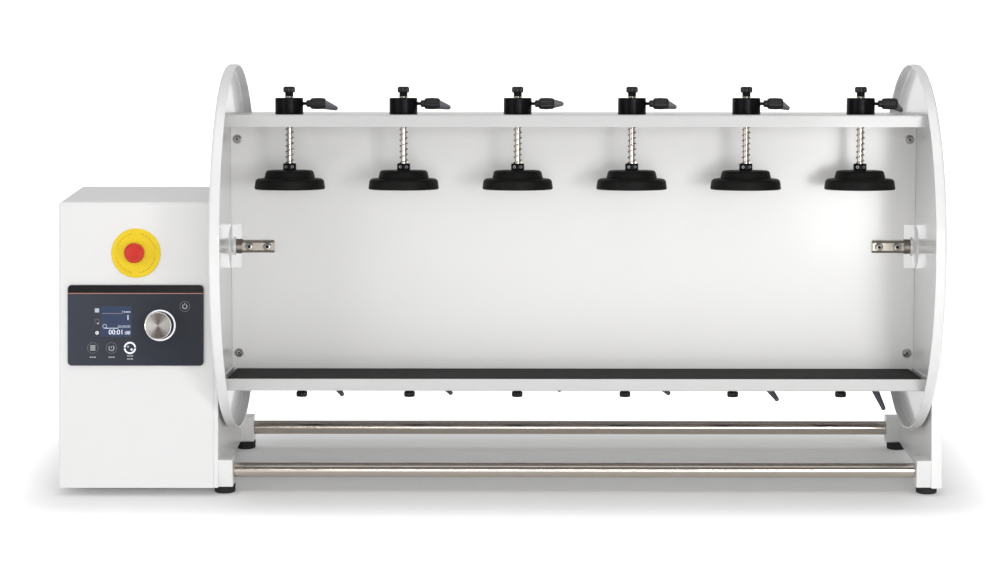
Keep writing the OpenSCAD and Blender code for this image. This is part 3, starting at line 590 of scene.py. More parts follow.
def soften(mesh, edges, width, steps):
    bmesh.ops.bevel(mesh, geom=edges, offset=width, segments=steps, profile=0.5, affect="EDGES")


def smooth(mesh, sharp):
    """Smooth shading, with edges above an angle in degrees kept sharp."""
    mesh.polygons.foreach_set("use_smooth", [True] * len(mesh.polygons))
    mesh.set_sharp_from_angle(angle=math.radians(sharp))
    mesh.update()
    return mesh


def paint(mesh, finish):
    """One finish over a whole mesh."""
    mesh.materials.clear()
    mesh.materials.append(finish)
    mesh.polygons.foreach_set("material_index", [0] * len(mesh.polygons))


def linked(name, data):
    made = bpy.data.objects.new(name, data)
    bpy.context.scene.collection.objects.link(made)
    return made


def worked_out(work, *others):
    """The mesh that a work object's modifiers or text give; the objects go."""
    bpy.context.view_layer.update()
    done = bpy.data.meshes.new_from_object(work.evaluated_get(bpy.context.evaluated_depsgraph_get()))
    for item in (work, *others):
        bpy.data.objects.remove(item)
    return done


def piece(name, mesh, body, nodes=(), place=None):
    """Puts a mesh in the scene on its body and the nodes that it stands for."""
    made = linked(name, mesh)
    if place is not None:
        scaled = place.copy()
        scaled.translation *= MM
        made.matrix_world = scaled
    weights = made.modifiers.new("flat_faces_stay_flat", "WEIGHTED_NORMAL")
    weights.keep_sharp = True
    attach(made, body)
    if nodes:
        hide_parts(*nodes)
    return made


def show(form, name, finishes, node):
    """Makes a form into the piece that stands for a node."""
    return piece(name, form.mesh(name, finishes), BODY[node], (node,))


def refined(node, name, finish, edge=0.0, steps=2, sharp=32.0):
    """A node's own shape with its facets joined and its edges broken, standing for that node."""
    mesh = bmesh.new()
    mesh.from_mesh(frame["nodes"][node].data)
    bmesh.ops.remove_doubles(mesh, verts=mesh.verts, dist=1e-6)
    flat = math.radians(0.6)
    bmesh.ops.dissolve_limit(mesh, angle_limit=flat, verts=mesh.verts, edges=mesh.edges)
    if edge > 0:
        folds = [e for e in mesh.edges if len(e.link_faces) == 2]
        corners = [e for e in folds if e.calc_face_angle(0.0) > math.radians(40)]
        soften(mesh, corners, edge * MM, steps)
    made = bpy.data.meshes.new(name)
    mesh.to_mesh(made)
    mesh.free()
    paint(made, finish)
    return piece(name, smooth(made, sharp), BODY[node], (node,))


# ---- housing and frames
def build_frames():
    """Refined shells and plates, the two tie rods, and a foot under each foot block."""
    refined("housing_shell", "housing_cover", WHITE, sharp=40.0)
    for node in ("drive_side_frame", "end_side_frame"):
        refined(node, node + "_plate", WHITE, 0.8, 3)
    refined("chassis", "base_and_rear_panel", WHITE)
    refined("mains_inlet", "mains_inlet_socket", INLET_BLACK, 0.5)

    rods = Form()
    x0, x1 = DRIVE_FACE + BLOCK_W, END_FACE - BLOCK_W
    path = rounded([(0, x0, 0), (TIE_R, x0, 0.8), (TIE_R, x1, 0.8), (0, x1, 0)], 3)
    for y in (-TIE_FRONT, TIE_BACK):
        rods.turned(path, shift(0, y, TIE_Z) @ ALONG_X, 0, 64)
    show(rods, "tie_rods_ground", [TUBE_STEEL], "tie_rods")

    feet = Form()
    low_r, step, top = FOOT_R - 0.3, FOOT_H - 3.0, FOOT_H
    path = rounded(
        [
            (0, 0.0, 0), (low_r, 0.0, 1.6), (low_r, step - 0.6, 0.3),
            (FOOT_R, step, 0.3), (FOOT_R, top, 0.3), (0, top, 0),
        ],
        4,
    )
    for x in ((COVER_END + DRIVE_FACE + BLOCK_W) / 2, (END_FACE - BLOCK_W + RIGHT_X) / 2):
        for y in (-TIE_FRONT, TIE_BACK):
            feet.turned(path, shift(x, y, 0))
    show(feet, "rubber_feet_moulded", [FOOT_RUBBER], "rubber_feet")


# ---- rotor
def build_discs():
    """Spun end discs: a flat face, a bent rim with a rolled hem, a welded hub flange and two web tabs."""
    r, rim, t = DISC_R, DISC_RIM, SHEET
    bore, neck, hub_top = SHAFT_R + 0.05, HUB_NECK_R, t + HUB_T - 0.1
    path = hollow(
        [
            (bore, 0.0, 0), (r, 0.0, 4.0), (r, rim, 0.9), (r - t, rim, 0.9), (r - t, t, 2.0),
            (HUB_R - 0.1, t, 0.3), (HUB_R - 0.3, t + 0.7, 0.4), (HUB_R - 5.0, t + 2.3, 6.0),
            (neck + 0.1, t + 4.1, 1.2), (neck - 0.1, hub_top, 0.5), (bore, hub_top, 0),
        ],
        6,
    )
    for side, name in ((1, "end_disc_left"), (-1, "end_disc_right")):
        disc = Form()
        spin = turn(0 if side > 0 else 180, "Z")
        disc.turned(path, ROTOR @ spin @ shift(-SPAN / 2) @ ALONG_X, 0, 224)
        for z in (-WEB_SCREW_Z, WEB_SCREW_Z):
            y = side * (WEB_T / 2 + t / 2) - t / 2
            low, high = (-PLATE_X - 0.4, y, z - TAB_W / 2), (-PLATE_X + TAB_L, y + t, z + TAB_W / 2)
            disc.box(low, high, 0.6, ROTOR @ spin)
        show(disc, name + "_spun", [DISC_WHITE], name)


def build_web():
    """The sheet between the bays, notched round the hub flanges, with a flange under each shelf."""
    x1 = PLATE_X - 0.05
    cut = HUB_R + 0.3
    outline = [
        (-x1, -SHELF_IN), (x1, -SHELF_IN), (x1, -cut), (NOTCH_X, -cut), (NOTCH_X, cut), (x1, cut),
        (x1, SHELF_IN), (-x1, SHELF_IN), (-x1, cut), (-NOTCH_X, cut), (-NOTCH_X, -cut), (-x1, -cut),
    ]
    web = Form()
    web.slab(outline, -WEB_T / 2, WEB_T / 2, 0.5, ROTOR @ OUT)
    for half in (0, 180):
        low, high = (-NOTCH_X, -LIP_H, SHELF_IN - SHEET), (NOTCH_X, 0, SHELF_IN)
        web.box(low, high, 0.5, ROTOR @ turn(half, "X"))
    show(web, "web_panel_sheet", [WEB_LIT_WHITE], "web_panel")


def shelf_mesh(name):
    """A tray bent from one sheet, with the holes that its clamps pass through."""
    tray = bmesh.new()
    bmesh.ops.create_cube(tray, size=1.0)
    bmesh.ops.scale(tray, vec=(2 * PLATE_X, 2 * SHELF_HALF, LIP_H), verts=tray.verts)
    bmesh.ops.translate(tray, vec=(0, 0, SHELF_H - LIP_H / 2), verts=tray.verts)
    foot = [f for f in tray.faces if f.normal.z < -0.5]
    bmesh.ops.delete(tray, geom=foot, context="FACES_ONLY")
    bends = [e for e in tray.edges if len(e.link_faces) == 2]
    soften(tray, bends, 1.6, 4)
    mesh = bpy.data.meshes.new(name)
    tray.to_mesh(mesh)
    tray.free()
    work = linked(name + "_work", mesh)
    thick = work.modifiers.new("sheet", "SOLIDIFY")
    thick.thickness, thick.offset, thick.use_even_offset = SHEET, -1.0, True
    punch, hole_r = Form(), BUSH_R + 0.05
    for column in range(CLAMPS):
        place = shift((column - (CLAMPS - 1) / 2) * CLAMP_PITCH, -CLAMP_OFFSET, SHELF_IN - 4)
        punch.turned([(0, 0), (hole_r, 0), (hole_r, 12), (0, 12)], place, 0, 40)
    tool_mesh = bpy.data.meshes.new("punch")
    tool_mesh.from_pydata([tuple(p) for p in punch.points], [], punch.faces)
    tool = linked("punch", tool_mesh)
    holes = work.modifiers.new("holes", "BOOLEAN")
    holes.object, holes.operation, holes.solver = tool, "DIFFERENCE", "EXACT"
    return worked_out(work, tool)


def build_shelves():
    tray = shelf_mesh("shelf_tray")
    for node, half in (("top_shelf", 0), ("bottom_shelf", 180)):
        faces = [tuple(p.vertices) for p in tray.polygons]
        form = Form().add([v.co for v in tray.vertices], faces, ROTOR @ turn(half, "X"))
        show(form, node + "_tray", [TRAY_SHADED_WHITE], node)


def build_mats():
    mats = Form()
    x1 = PLATE_X - SHEET - 2.8 - 1
    low_y, high_y = -SHELF_HALF + SHEET + 1, -WEB_T / 2 - 1
    for half in (0, 180):
        mats.box((-x1, low_y, -SHELF_IN), (x1, high_y, -SHELF_IN + MAT_T), 1.2, ROTOR @ turn(half, "X"), 0, 3)
    show(mats, "bay_mats_cut", [MAT_RUBBER], "bay_mats")


# ---- screws
def socket_head(form, place, head):
    """A screw head above Z = 0, domed for a button head, with a hexagon socket painted dark as painted shade.
    """
    head_r, top, key_r, dome = head
    land_r, floor, sides = key_r + 0.6, top * 0.35, 36
    shoulder = (head_r, top - dome, dome * 0.9 + 0.3)
    path = rounded([(head_r * 0.96, 0, 0), (head_r, 0.5, 0.3), shoulder, (land_r, top, 0)], 4)
    form.turned([(0, 0)] + path, place, 0, sides)
    points = [(x, y, top) for x, y in polygon(land_r, sides)]
    points += [(x, y, z) for z in (top, floor) for x, y in polygon(key_r, 6)] + [(0, 0, floor)]
    land, well = [], []
    mouth, foot = sides, sides + 6
    for k in range(6):
        n = (k + 1) % 6
        for j in range(6):
            land.append((mouth + k, k * 6 + j, (k * 6 + j + 1) % sides))
        land.append((mouth + k, (k * 6 + 6) % sides, mouth + n))
        well.append((mouth + k, mouth + n, foot + n, foot + k))
        well.append((foot + k, foot + n, foot + 6))
    form.add(points, land, place, 0)
    # the socket's walls and floor take the painted shade
    form.add(points, well, place, 1)


def build_screws():
    """Button heads with washers on the web's corners, bar screws with nuts, and the shelves' end screws."""
    heads = Form()
    thread_r, bar_thread_r, nut_h = 2.5, 3.0, 5.0
    washer = rounded([(2.7, 0, 0), (6, 0, 0.3), (6, 1, 0.3), (2.7, 1, 0)], 2)
    for side in (-1, 1):
        for z in (-WEB_SCREW_Z, WEB_SCREW_Z):
            place = ROTOR @ shift(side * WEB_SCREW_X, -WEB_T / 2, z) @ OUT
            heads.turned(washer, place, 0, 40)
            socket_head(heads, place @ shift(0, 0, 1), BUTTON_HEAD)
            heads.turned([(thread_r, 0), (thread_r, -7), (1.8, -7.6), (0, -7.6)], place, 0, 20)
        for along in BAR_SCREWS:
            x = side * (NOTCH_X - along)
            place = ROTOR @ shift(x, -WEB_T / 2 - BAR_T, 0) @ OUT
            socket_head(heads, place, BAR_HEAD)
            heads.turned([(bar_thread_r, 0), (bar_thread_r, -BAR_T - WEB_T - nut_h)], place, 0, 24)
            heads.slab(polygon(5.5, 6), 0, nut_h, 0.4, ROTOR @ shift(x, WEB_T / 2, 0) @ turn(-90, "X"))
    for half in (0, 180):
        for spin in (0, 180):
            for y in (-SHELF_SCREW_Y, SHELF_SCREW_Y):
                end = shift(-PLATE_X + SHEET, y, SHELF_IN - LIP_H / 2)
                place = ROTOR @ turn(half, "X") @ turn(spin, "Z") @ end @ ALONG_X
                socket_head(heads, place, BUTTON_HEAD)
                heads.turned([(thread_r, -4), (thread_r, 0)], place, 0, 20)
                heads.turned([(0, -4), (1.9, -4), (thread_r, -3.6)], place, 0, 20)
    show(heads, "rotor_screws_set", [SCREW_STEEL, SCREW_WELL_SHADE], "rotor_screws")


# ---- clamps
def clamp_body_form():
    """Turned clamp body, its threaded bush and the flat nut under the shelf."""
    form = Form()
    bore, thread = ROD_R + 0.06, BUSH_R + 0.05
    body = hollow(
        [
            (bore, SHELF_H, 0), (BODY_R - 0.3, SHELF_H, 0.2), (BODY_R, SHELF_H + 0.8, 0.4),
            (BODY_R, BODY_TOP, 1.3), (bore + 0.6, BODY_TOP, 0.3), (bore, BODY_TOP - 0.8, 0),
        ],
    )
    form.turned(body, WORLD, 0, 72)
    bush = [(bore, NUT_FOOT), (BUSH_R - 0.4, NUT_FOOT), (BUSH_R, NUT_FOOT + 0.4)]
    form.turned(bush + [(BUSH_R, SHELF_H), (bore, SHELF_H), (bore, NUT_FOOT)])
    nut = [(thread, NUT_FOOT, 0), (NUT_R, NUT_FOOT, 0.8), (NUT_R, SHELF_IN, 0.5), (thread, SHELF_IN, 0)]
    form.turned(hollow(nut, 4))
    return form


def build_clamp_bodies():
    every, one = Form(), clamp_body_form()
    for index in range(2 * CLAMPS):
        every.add(one.points, one.faces, clamp_place(index))
    show(every, "clamp_bodies_turned", [BLACK_METAL], "clamp_bodies")


def knob_lobes(angle, height):
    """Six lobes on the head; the neck below it stays round."""
    if height < BODY_TOP + 6.6:
        return 1.0
    return 1.0 - 0.17 * (0.5 + 0.5 * math.cos(6 * angle)) ** 1.3


def knob_form():
    """Plunger knob: a ribbed neck under a taller lobed head with a hollow in its top."""
    foot, top, neck = BODY_TOP + 1.75, KNOB_TOP, KNOB_NECK_R - 0.1
    path = [(ROD_R + 0.1, foot), (neck, foot)]
    path += [(neck - 0.4 * (k % 2), foot + 0.4 + 0.5 * k) for k in range(9)]
    path += rounded(
        [
            (neck - 0.1, foot + 4.6, 0), (KNOB_R - 0.6, foot + 4.9, 0.6), (KNOB_R, foot + 6.4, 1.2),
            (KNOB_R, top, 2.4), (4.2, top - 0.1, 0.9), (3.4, top - 0.9, 0.6), (0, top - 0.9, 0),
        ],
    )
    return Form().turned(path, WORLD, 0, 72, knob_lobes)


def pad_form():
    """Press pad of two soft tiers with a turned groove in each, and the collar on it."""
    form = Form()
    foot, top, hollow_z = PAD_FOOT, PAD_TOP, PAD_FOOT + 1.2
    path = rounded(
        [
            (0, hollow_z, 0), (36, hollow_z, 0.6), (37, foot, 0.8), (PAD_R - 0.9, foot, 0.8),
            (PAD_R, foot + 1.1, 0.9), (PAD_R - 1.6, STEP_Z, 4.6), (34.6, STEP_Z, 0.5),
            (33.9, STEP_Z - 0.6, 0.4), (31.2, STEP_Z - 0.6, 0.8), (28.6, top, 3.6),
            (21.0, top, 0.4), (20.4, top - 0.7, 0.3), (18.8, top - 0.7, 0.3), (18.2, top, 0.4),
            (COLLAR_R + 0.6, top, 0.6), (COLLAR_R + 0.2, top + 0.1, 0),
        ],
    )
    form.turned(path, WORLD, 0, 96)
    top = COLLAR_TOP
    collar = rounded(
        [
            (COLLAR_R, PAD_TOP, 0), (COLLAR_R, top - 0.4, 0), (COLLAR_R, top, 1.1),
            (ROD_R + 0.5, top, 0.3), (ROD_R + 0.05, top - 0.6, 0),
        ],
        4,
    )
    form.turned(collar, WORLD, 1, 56)
    return form


def set_screws_form():
    """Three set screws in the collar, two of them to the front."""
    form = Form()
    for angle in (-118.0, -62.0, 90.0):
        place = turn(angle, "Z") @ shift(COLLAR_R - 0.25, 0, PAD_TOP + 4.4) @ ALONG_X
        socket_head(form, place, SET_SCREW)
    return form


def rod_form():
    """The plunger's rod, with the steel ring between the clamp body and the knob."""
    form = Form()
    low, top = STEP_Z + 0.1, KNOB_TOP - 3.1
    form.turned([(0, low), (ROD_R, low), (ROD_R, top), (0, top)], WORLD, 0, 32)
    bore, ring_r = ROD_R + 0.05, KNOB_NECK_R - 0.02
    low, top = BODY_TOP + 0.3, BODY_TOP + 1.65
    ring = rounded([(bore, low, 0), (ring_r, low, 0.4), (ring_r, top, 0.4), (bore, top, 0)], 3)
    form.turned(ring, WORLD, 0, 40)
    return form


def lever_form():
    """Clamping lever: thin stud, neck, fluted hub and an arm, painted lighter grey as painted sheen, that
    thins to a round tip.
    """
    form = Form()
    low, top, end = ROD_R + 0.3, BODY_R - 0.4, NECK_X
    stud = [(0, low), (2.8, low), (2.8, top), (1.9, BODY_R + 0.2), (1.9, end), (0, end)]
    form.turned(stud, ALONG_X, 1, 32)
    neck = [(0, end, 0), (3.6, end, 0.5), (4.3, end + 1.6, 0.5), (4.3, HUB_X, 0.4), (5.6, HUB_X, 0)]
    form.turned(rounded(neck, 3), ALONG_X)

    def flutes(angle, height):
        middle = 1.0 - abs((height - HUB_X) / (LEVER_END - HUB_X) * 2 - 1) ** 3
        return 1.0 - 0.12 * middle * (0.5 - 0.5 * math.cos(12 * angle)) ** 0.7

    hub = rounded(
        [
            (0, HUB_X - 0.1, 0), (5.6, HUB_X - 0.1, 0.5), (6.8, HUB_X + 2.0, 1.5),
            (7.1, (HUB_X + LEVER_END) / 2, 4), (6.7, LEVER_END - 2, 1.2),
            (5.4, LEVER_END, 0.5), (0, LEVER_END, 0),
        ],
    )
    form.turned(hub, ALONG_X, 0, 96, flutes)
    return form.add(*lever_arm(), WORLD, 2)


def lever_arm():
    """Oval sections from the hub's end out to the tip, leaning sideways as they go out."""
    sections, sides, steps = [], 28, 18
    root_wide, root_thick, tip, tip_z = 5.5, 6.4, LEVER_TIP_R, LEVER_REACH - LEVER_TIP_R
    for step in range(steps + 1):
        u = step / steps
        middle = (LEVER_END - root_wide) + (LEVER_LEAN + root_wide) * u
        wide = root_wide + (tip - root_wide) * u ** 1.2
        thick = root_thick + (tip - root_thick) * u ** 1.1
        sections.append((middle, u * tip_z, wide, thick))
    for cap in range(1, 6):
        a = math.pi / 2 * cap / 5
        r = max(tip * math.cos(a), 0.05)
        sections.append((LEVER_END + LEVER_LEAN, tip_z + tip * math.sin(a), r, r))
    circle = polygon(1.0, sides)
    points = [(middle + wide * x, thick * y, z) for middle, z, wide, thick in sections for x, y in circle]
    return points, tube(len(sections), sides)


def spring_form():
    """Pressure spring from the collar to the nut, its end coils closing up to a flat seat."""
    steps = 28
    foot, top = COLLAR_TOP + WIRE_R, NUT_FOOT - WIRE_R
    centres = []
    for k in range((SPRING_TURNS + 1) * steps + 1):
        turns = k / steps
        rise = min(max(turns - 0.5, 0.0), SPRING_TURNS) / SPRING_TURNS
        angle = 2 * math.pi * turns
        centres.append((SPRING_R * math.cos(angle), SPRING_R * math.sin(angle), foot + (top - foot) * rise))
    return Form().strand(centres, WIRE_R, WORLD, 0, 10)


def build_clamps():
    knob = knob_form().mesh("plunger_knob", [BLACK_MOULDED], 45)
    pad = pad_form().mesh("press_pad", [PAD_RUBBER, BLACK_METAL])
    rod = rod_form().mesh("plunger_rod", [ROD_STEEL])
    pins = set_screws_form().mesh("collar_set_screws", [SCREW_STEEL, SCREW_WELL_SHADE])
    lever = lever_form().mesh("clamp_lever", [BLACK_LEVER, BLACK_METAL, LEVER_ARM_SHEEN], 50)
    spring = spring_form().mesh("pressure_spring", [SPRING_STEEL], 80)
    for index in range(2 * CLAMPS):
        number = f"{index + 1:02d}"
        place = clamp_place(index)
        carrier = f"plunger_{number}_body"
        for name, mesh, slot in (
            ("plunger_rod_", rod, "stainless"),
            ("plunger_knob_", knob, "lever_black"),
            ("press_pad_", pad, "pad_rubber"),
            ("collar_screws_", pins, "screw_steel"),
        ):
            piece(name + number, mesh, carrier, ("plunger_" + number,), place)
        carrier, node = f"lever_{number}_body", "clamp_lever_" + number
        turned_by = place @ shift(0, 0, STUD_Z) @ turn(-LEVER_TURNS[index], "X")
        piece("lever_" + number, lever, carrier, (node,), turned_by)
        coil = piece("coil_" + number, spring.copy(), "rotor", ("spring_" + number,), place)
        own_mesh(coil)


# ---- front face
def round_rect(x, z, w, h, r, steps=6):
    """Outline of a rectangle with round corners, about its middle."""
    outline = []
    dx, dz = w / 2 - r, h / 2 - r
    for cx, cz, start in ((dx, dz, 0), (-dx, dz, 90), (-dx, -dz, 180), (dx, -dz, 270)):
        for k in range(steps + 1):
            a = math.radians(start + 90 * k / steps)
            outline.append((x + cx + r * math.cos(a), z + cz + r * math.sin(a)))
    return outline


def arc_band(form, x, z, inner, outer, start, end, tone, layer):
    """A flat ring or part of one on the panel, between the heights of its layer."""
    steps = max(int(abs(end - start) / 6), 3)
    outline = []
    for radius, order in ((outer, range(steps + 1)), (inner, range(steps, -1, -1))):
        for k in order:
            a = math.radians(start + (end - start) * k / steps)
            outline.append((x + radius * math.cos(a), z + radius * math.sin(a)))
    top = len(outline)
    points = [(px, pz, h) for h in layer for px, pz in outline]
    faces = []
    for k in range(steps):
        a, b, c, d = k, k + 1, top - 2 - k, top - 1 - k
        faces.append((top + a, top + b, top + c, top + d))
        faces.append((a, b, top + b, top + a))
        faces.append((c, d, top + d, top + c))
    if abs(end - start) < 360:
        for a, b in ((0, top - 1), (steps, steps + 1)):
            faces.append((a, b, top + b, top + a))
    form.add(points, faces, FACE @ OUT, TONE[tone])


def bar(form, x, z, w, h, tone, layer, r=0.0):
    """A flat bar on the panel about its middle, its corners round where r is given."""
    left, right, foot, top = x - w / 2, x + w / 2, z - h / 2, z + h / 2
    square = [(left, foot), (right, foot), (right, top), (left, top)]
    form.slab(round_rect(x, z, w, h, r, 3) if r > 0 else square, *layer, 0.0, FACE @ OUT, TONE[tone])


def digits(text, x, z, height, name, tone, low):
    """Plain figures for the screen, right edge at x."""
    curve = bpy.data.curves.new(name, "FONT")
    curve.body = text
    curve.size = height * MM * 1.38
    curve.align_x = "RIGHT"
    curve.extrude = 0.02 * MM
    curve.offset = 0.02 * MM
    mesh = worked_out(linked(name + "_work", curve))
    paint(mesh, PANEL_FINISHES[tone])
    place = FACE @ OUT @ shift(x, z, low)
    place.translation *= MM
    mesh.transform(place)
    return piece(name, mesh, "base")


def build_screen(glass):
    """Two rows with plain figures, a line over each, and three signs at the left."""
    t = PANEL_T
    bar(glass, 66.4, 202.8, 47.0, 38.0, "screen", (t, t + 0.03), 0.6)
    for z, h in ((212.1, 17.8), (193.4, 18.2)):
        bar(glass, 70.9, z, 36.8, h, "row", (t + 0.03, t + 0.04), 0.4)
    layer = (t + 0.04, t + 0.06)
    for x, z, w, h, tone, r in (
        (66.4, 212.4, 24.2, 0.9, "pink", 0),
        (65.0, 194.5, 17.4, 0.6, "white", 0),
        (81.6, 214.3, 2.3, 1.7, "dim", 0.4),
        (84.6, 214.3, 2.3, 1.7, "dim", 0.4),
        (87.4, 214.3, 2.3, 1.7, "dim", 0.4),
        (47.8, 216.1, 5.2, 5.0, "dim", 0.5),
        (45.3, 202.9, 0.5, 5.0, "grey", 0),
        (50.3, 202.9, 0.5, 5.0, "grey", 0),
        (47.8, 205.4, 5.5, 0.5, "grey", 0),
        (49.0, 200.2, 2.2, 1.4, "light", 0.3),
    ):
        bar(glass, x, z, w, h, tone, layer, r)
    arc_band(glass, 47.9, 188.8, 0.9, 2.0, 0, 360, "white", layer)
    arc_band(glass, 57.2, 196.9, 1.9, 2.6, 0, 360, "dim", layer)
    for text, x, z, height, name, tone in (
        ("00:01", 80.3, 187.0, 6.0, "screen_minutes", "white"),
        (":00", 88.5, 187.0, 4.3, "screen_seconds", "white"),
        ("00:00:00", 88.5, 195.0, 3.2, "screen_set_time", "dim"),
        ("1", 87.8, 204.6, 6.4, "screen_speed", "white"),
        ("1", 80.0, 213.0, 3.2, "screen_set_speed", "dim"),
    ):
        digits(text, x, z, height, name, tone, layer[1])


def build_keys(glass):
    """Four touch keys: three along the foot, each over plain dashes, and one at the upper right."""
    layer = (PANEL_T, PANEL_T + 0.05)
    left, middle, right, z = 42.8, 65.5, 88.0, 170.5
    far_x, far_z = 154.8, 221.0
    for key_x, key_z, outer in ((left, z, 6.7), (middle, z, 6.7), (far_x, far_z, 6.3)):
        arc_band(glass, key_x, key_z, outer - 0.45, outer, 0, 360, "grey", layer)
    for dz in (-2.4, 0, 2.4):
        bar(glass, left, z + dz, 6.3, 1.2, "light", layer, 0.3)
    arc_band(glass, middle, z - 0.2, 2.7, 3.5, -230, 60, "light", layer)
    bar(glass, middle, z + 0.9, 0.7, 2.6, "light", layer)
    for start in (6, 186):
        arc_band(glass, right, z, 5.4, 7.4, start, start + 168, "ring", layer)
    bar(glass, right - 2.3, z + 1.5, 2.0, 2.0, "light", layer, 0.3)
    arc_band(glass, right + 2.0, z - 1.9, 0.0, 1.3, 0, 360, "white", layer)
    arc_band(glass, far_x, far_z, 2.3, 3.1, -235, 55, "light", layer)
    bar(glass, far_x, far_z + 2.8, 0.7, 2.6, "light", layer)
    for dash_x, dash_z in ((42.8, 159.2), (65.7, 159.2), (88.2, 160.8), (88.2, 157.1)):
        for dx, w in ((-2.7, 1.9), (-0.4, 1.6), (2.3, 2.4)):
            bar(glass, dash_x + dx, dash_z, w, 1.2, "light", layer, 0.3)


def build_panel():
    """The glass with its dark band and accent line, its prints, and the lit ring round the knob."""
    x, z, w, h = PANEL
    t = PANEL_T
    glass = Form()
    glass.slab(round_rect(x, z, w, h, 5.0), 0, t, 0.7, FACE @ OUT, TONE["glass"], 3)
    side, foot = w / 2 - 0.8, z + h / 2 - PANEL_BAND
    strip = [p for p in round_rect(x, z, w - 1.6, h - 1.6, 4.2) if p[1] > foot]
    strip += [(x - side, foot), (x + side, foot)]
    glass.slab(strip, t, t + 0.04, 0.0, FACE @ OUT, TONE["strip"])
    bar(glass, x, foot - 0.45, w - 1.8, 0.9, "orange", (t, t + 0.05))
    build_screen(glass)
    build_keys(glass)
    place = FACE @ shift(DIAL_X, 0, z) @ OUT
    inner, outer, top = 17.0, 19.0, t + 1.0
    ring = [(inner, t, 0), (outer, t, 0), (outer, top, 0.5), (inner + 0.3, top, 0.2), (inner, t + 0.4, 0)]
    glass.turned(hollow(ring, 3), place, TONE["ring"], 96)
    show(glass, "control_panel_glass", list(PANEL_FINISHES.values()), "control_panel")
    build_dial(place)


def build_dial(place):
    """The control knob: dark side, bright edge and a face turned a little hollow."""
    knob = Form()
    foot = PANEL_T + 1.3
    face, rim, stem_r = foot + DIAL_H, DIAL_R - 1.2, 2.95
    side = [(0, foot, 0), (DIAL_R - 0.4, foot, 0.3), (DIAL_R, foot + 0.6, 0.3), (DIAL_R, face - 1.1, 0)]
    knob.turned(rounded(side, 4), place, 0, 96)
    edge = [(DIAL_R, face - 1.1, 0), (DIAL_R - 0.6, face, 0.5), (rim, face - 0.25, 0)]
    knob.turned(rounded(edge, 4), place, 1, 96)
    knob.turned([(stem_r, foot), (stem_r, foot - 19), (0, foot - 19)], place, 1, 24)
    show(knob, "control_knob_turned", [KNOB_SIDE, KNOB_RIM], "control_knob")
    inward = [1 - k / 8 for k in range(9)]
    cut = Form().turned([(rim * u, face - 0.25 - 0.35 * (1 - u ** 2)) for u in inward], WORLD, 0, 96)
    mesh = cut.mesh("control_knob_face", [KNOB_FACE])
    piece("control_knob_face", mesh, "knob", ("control_knob",), place)


def build_stop():
    """Emergency stop: yellow collar with plain ticks, its shank and nut behind the sheet, and the red cap."""
    place = FACE @ shift(STOP_AT[0], 0, STOP_AT[1]) @ OUT
    collar = Form()
    r, flat, neck_r, top, bore = STOP_R, STOP_PLATE_T, 15.5, STOP_TOP, 8.2
    path = hollow(
        [
            (bore, 0, 0), (r - 0.4, 0, 0.2), (r, 0.5, 0.3), (r, flat - 0.7, 0.7), (r - 1.4, flat, 0.5),
            (neck_r + 1.5, flat, 0.5), (neck_r, flat + 0.6, 0.4), (neck_r, top - 0.6, 0.7),
            (neck_r - 1.5, top, 0.5), (bore, top, 0),
        ],
        4,
    )
    collar.turned(path, place, 0, 96)
    collar.turned([(bore, 0), (11, 0), (11, -24), (bore, -24)], place, 1, 48)
    nut = [(11.1, -2, 0), (neck_r, -2, 0.3), (neck_r, -7, 0.5), (11.1, -7, 0)]
    collar.turned(hollow(nut, 2), place, 1, 36)
    tick = [(23.2, -0.3), (25.0, -0.3), (25.0, 0.3), (23.2, 0.3)]
    for quarter in (45, 135, 225, 315):
        for step in range(-4, 5):
            collar.slab(tick, flat, flat + 0.04, 0.0, place @ turn(quarter + 7.5 * step, "Z"), 2)
    finishes = [YELLOW, BLACK_MOULDED, TICK_BROWN]
    show(collar, "stop_collar_moulded", finishes, "stop_collar")

    cap = Form()
    foot = STOP_TOP + 4.3
    top, stem_r = foot + STOP_CAP_H, 7.95
    path = rounded(
        [
            (0, foot, 0), (11.0, foot, 0.6), (12.1, foot + 1.2, 0.8), (12.25, top - 4.5, 2.0),
            (11.4, top - 1.4, 1.8), (8.6, top, 1.6), (7.6, top - 0.5, 0.5), (0, top - 0.8, 0),
        ],
        6,
    )
    cap.turned(path, place, 0, 96)
    cap.turned([(0, foot), (stem_r, foot), (stem_r, foot - 22), (0, foot - 22)], place, 0, 40)
    show(cap, "stop_cap_moulded", [RED], "stop_cap")


# ---- studio
# Camera in metres and degrees, its focal length in film widths
CAMERA_AT = (0.0160, -3.1231, 0.7331)
CAMERA_TURN = (80.94, 0.0, 0.3)
FILM_W = 36.0
FOCAL = 2.5165

# Floor: its low glow under the object, which leaves a painted shadow there, and where the glow starts to rise
# to white
UNDER_GLOW = 0.10
SHADE_X, SHADE_Y, SHADE_FADE = 0.50, 0.15, 0.12

# World: light on matt surfaces, and what shiny ones mirror in front of and behind the object
AMBIENT = 0.50
ROOM = 0.20
BEHIND = 0.62


def build_camera():
    camera = bpy.data.cameras.new("photo_view")
    camera.sensor_fit = "HORIZONTAL"
    camera.sensor_width = FILM_W
    camera.lens = FILM_W * FOCAL
    camera.clip_end = 100.0
    seen = linked("photo_view", camera)
    seen.location = CAMERA_AT
    seen.rotation_euler = [math.radians(a) for a in CAMERA_TURN]
    bpy.context.scene.camera = seen


def lamp(name, size, energy, place, aim_z=0.3):
    """A soft box that points at a height on the object's middle line."""
    light = bpy.data.lights.new(name, "AREA")
    light.shape = "RECTANGLE"
    light.size, light.size_y = size
    light.energy = energy
    made = linked(name, light)
    made.location = place
    made.rotation_euler = (Vector((0, 0, aim_z)) - Vector(place)).to_track_quat("-Z", "Y").to_euler()
    made.visible_camera = False


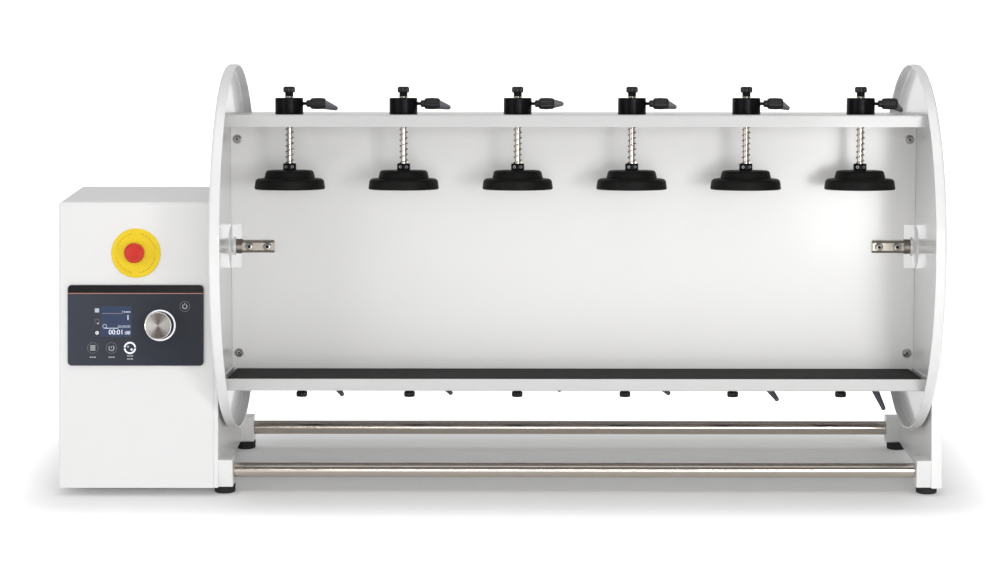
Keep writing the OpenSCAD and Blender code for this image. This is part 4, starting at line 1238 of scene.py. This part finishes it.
def build_floor():
    """White paper: it keeps the object's shadow, adds a painted shadow where its glow stays low under the
    object, and turns to plain white round it.
    """
    f = Finish("floor_paper", Roughness=0.9, Specular_IOR_Level=0.1, Emission_Strength=1.0)
    fibre = f.noise(0.0012, 3.0)
    across, deep, _ = f.parts(f.place())
    out_x, out_y = across.beyond(SHADE_X), deep.beyond(SHADE_Y)
    # painted shadow: the glow stays low over the object's footprint and rises to white away from it
    away = ((out_x * out_x + out_y * out_y) ** 0.5).above(SHADE_FADE, SHADE_FADE)
    direct = f.seen_by("Is Camera Ray")
    direct = direct.math("MAXIMUM", direct, f.seen_by("Is Glossy Ray"))
    glow = direct * (UNDER_GLOW + (1.0 - UNDER_GLOW) * away)
    f.drive(Base_Color=f.mix(fibre, (0.87, 0.87, 0.87), (0.90, 0.90, 0.90)))
    f.drive(Emission_Color=f.mix(glow, (0.0, 0.0, 0.0), (1.0, 1.0, 1.0)))
    mesh = bpy.data.meshes.new("floor")
    mesh.from_pydata([(-40, -40, 0), (40, -40, 0), (40, 40, 0), (-40, 40, 0)], [], [(0, 1, 2, 3)])
    mesh.materials.append(f.material)
    linked("floor", mesh)


def build_world():
    """A white backdrop; shiny pieces mirror it behind them and a dim room in front of them."""
    world = bpy.data.worlds.new("studio")
    bpy.context.scene.world = world
    world.use_nodes = True
    g = Graph(world.node_tree)
    _, deep, up = g.parts(g.node("ShaderNodeTexCoord", out="Generated"))
    behind = deep.above(0.10, 0.15) * (1.0 - up.above(0.55, 0.20))
    camera = g.seen_by("Is Camera Ray")
    mirrored = camera.math("MAXIMUM", g.seen_by("Is Glossy Ray"), g.seen_by("Is Transmission Ray"))
    room = ROOM + (BEHIND - ROOM) * behind
    others = mirrored * room + (1.0 - mirrored) * AMBIENT
    g.put(world.node_tree.nodes["Background"].inputs["Color"], (1.0, 1.0, 1.0))
    g.put(world.node_tree.nodes["Background"].inputs["Strength"], camera + (1.0 - camera) * others)


def build_studio():
    build_floor()
    build_world()
    lamp("key_right", (0.42, 0.42), 9, (0.84, -2.15, 0.50))
    lamp("front_fill", (1.4, 0.45), 13, (0.30, -3.6, 0.28))
    lamp("front_strip", (1.9, 0.26), 8.5, (0.25, -3.4, 1.02))
    lamp("left_wall", (1.6, 1.6), 14, (-2.4, -2.2, 0.9))
    lamp("soft_above", (2.6, 1.8), 14, (0.0, -0.5, 2.6), 0.2)


build_camera()
build_frames()
build_discs()
build_web()
build_shelves()
build_mats()
build_screws()
build_clamp_bodies()
build_clamps()
build_panel()
build_stop()
refined("stub_shafts", "stub_shafts_milled", SHAFT_STEEL, 0.4)
for node, finish in (
    ("frame_screws", SCREW_STEEL),
    ("shaft_bearings", SCREW_STEEL),
    ("gear_motor", MOTOR_GREY),
    ("control_electronics", BOARD_GREEN),
):
    paint(frame["nodes"][node].data, finish)
build_studio()

bpy.context.scene.view_settings.view_transform = "Standard"
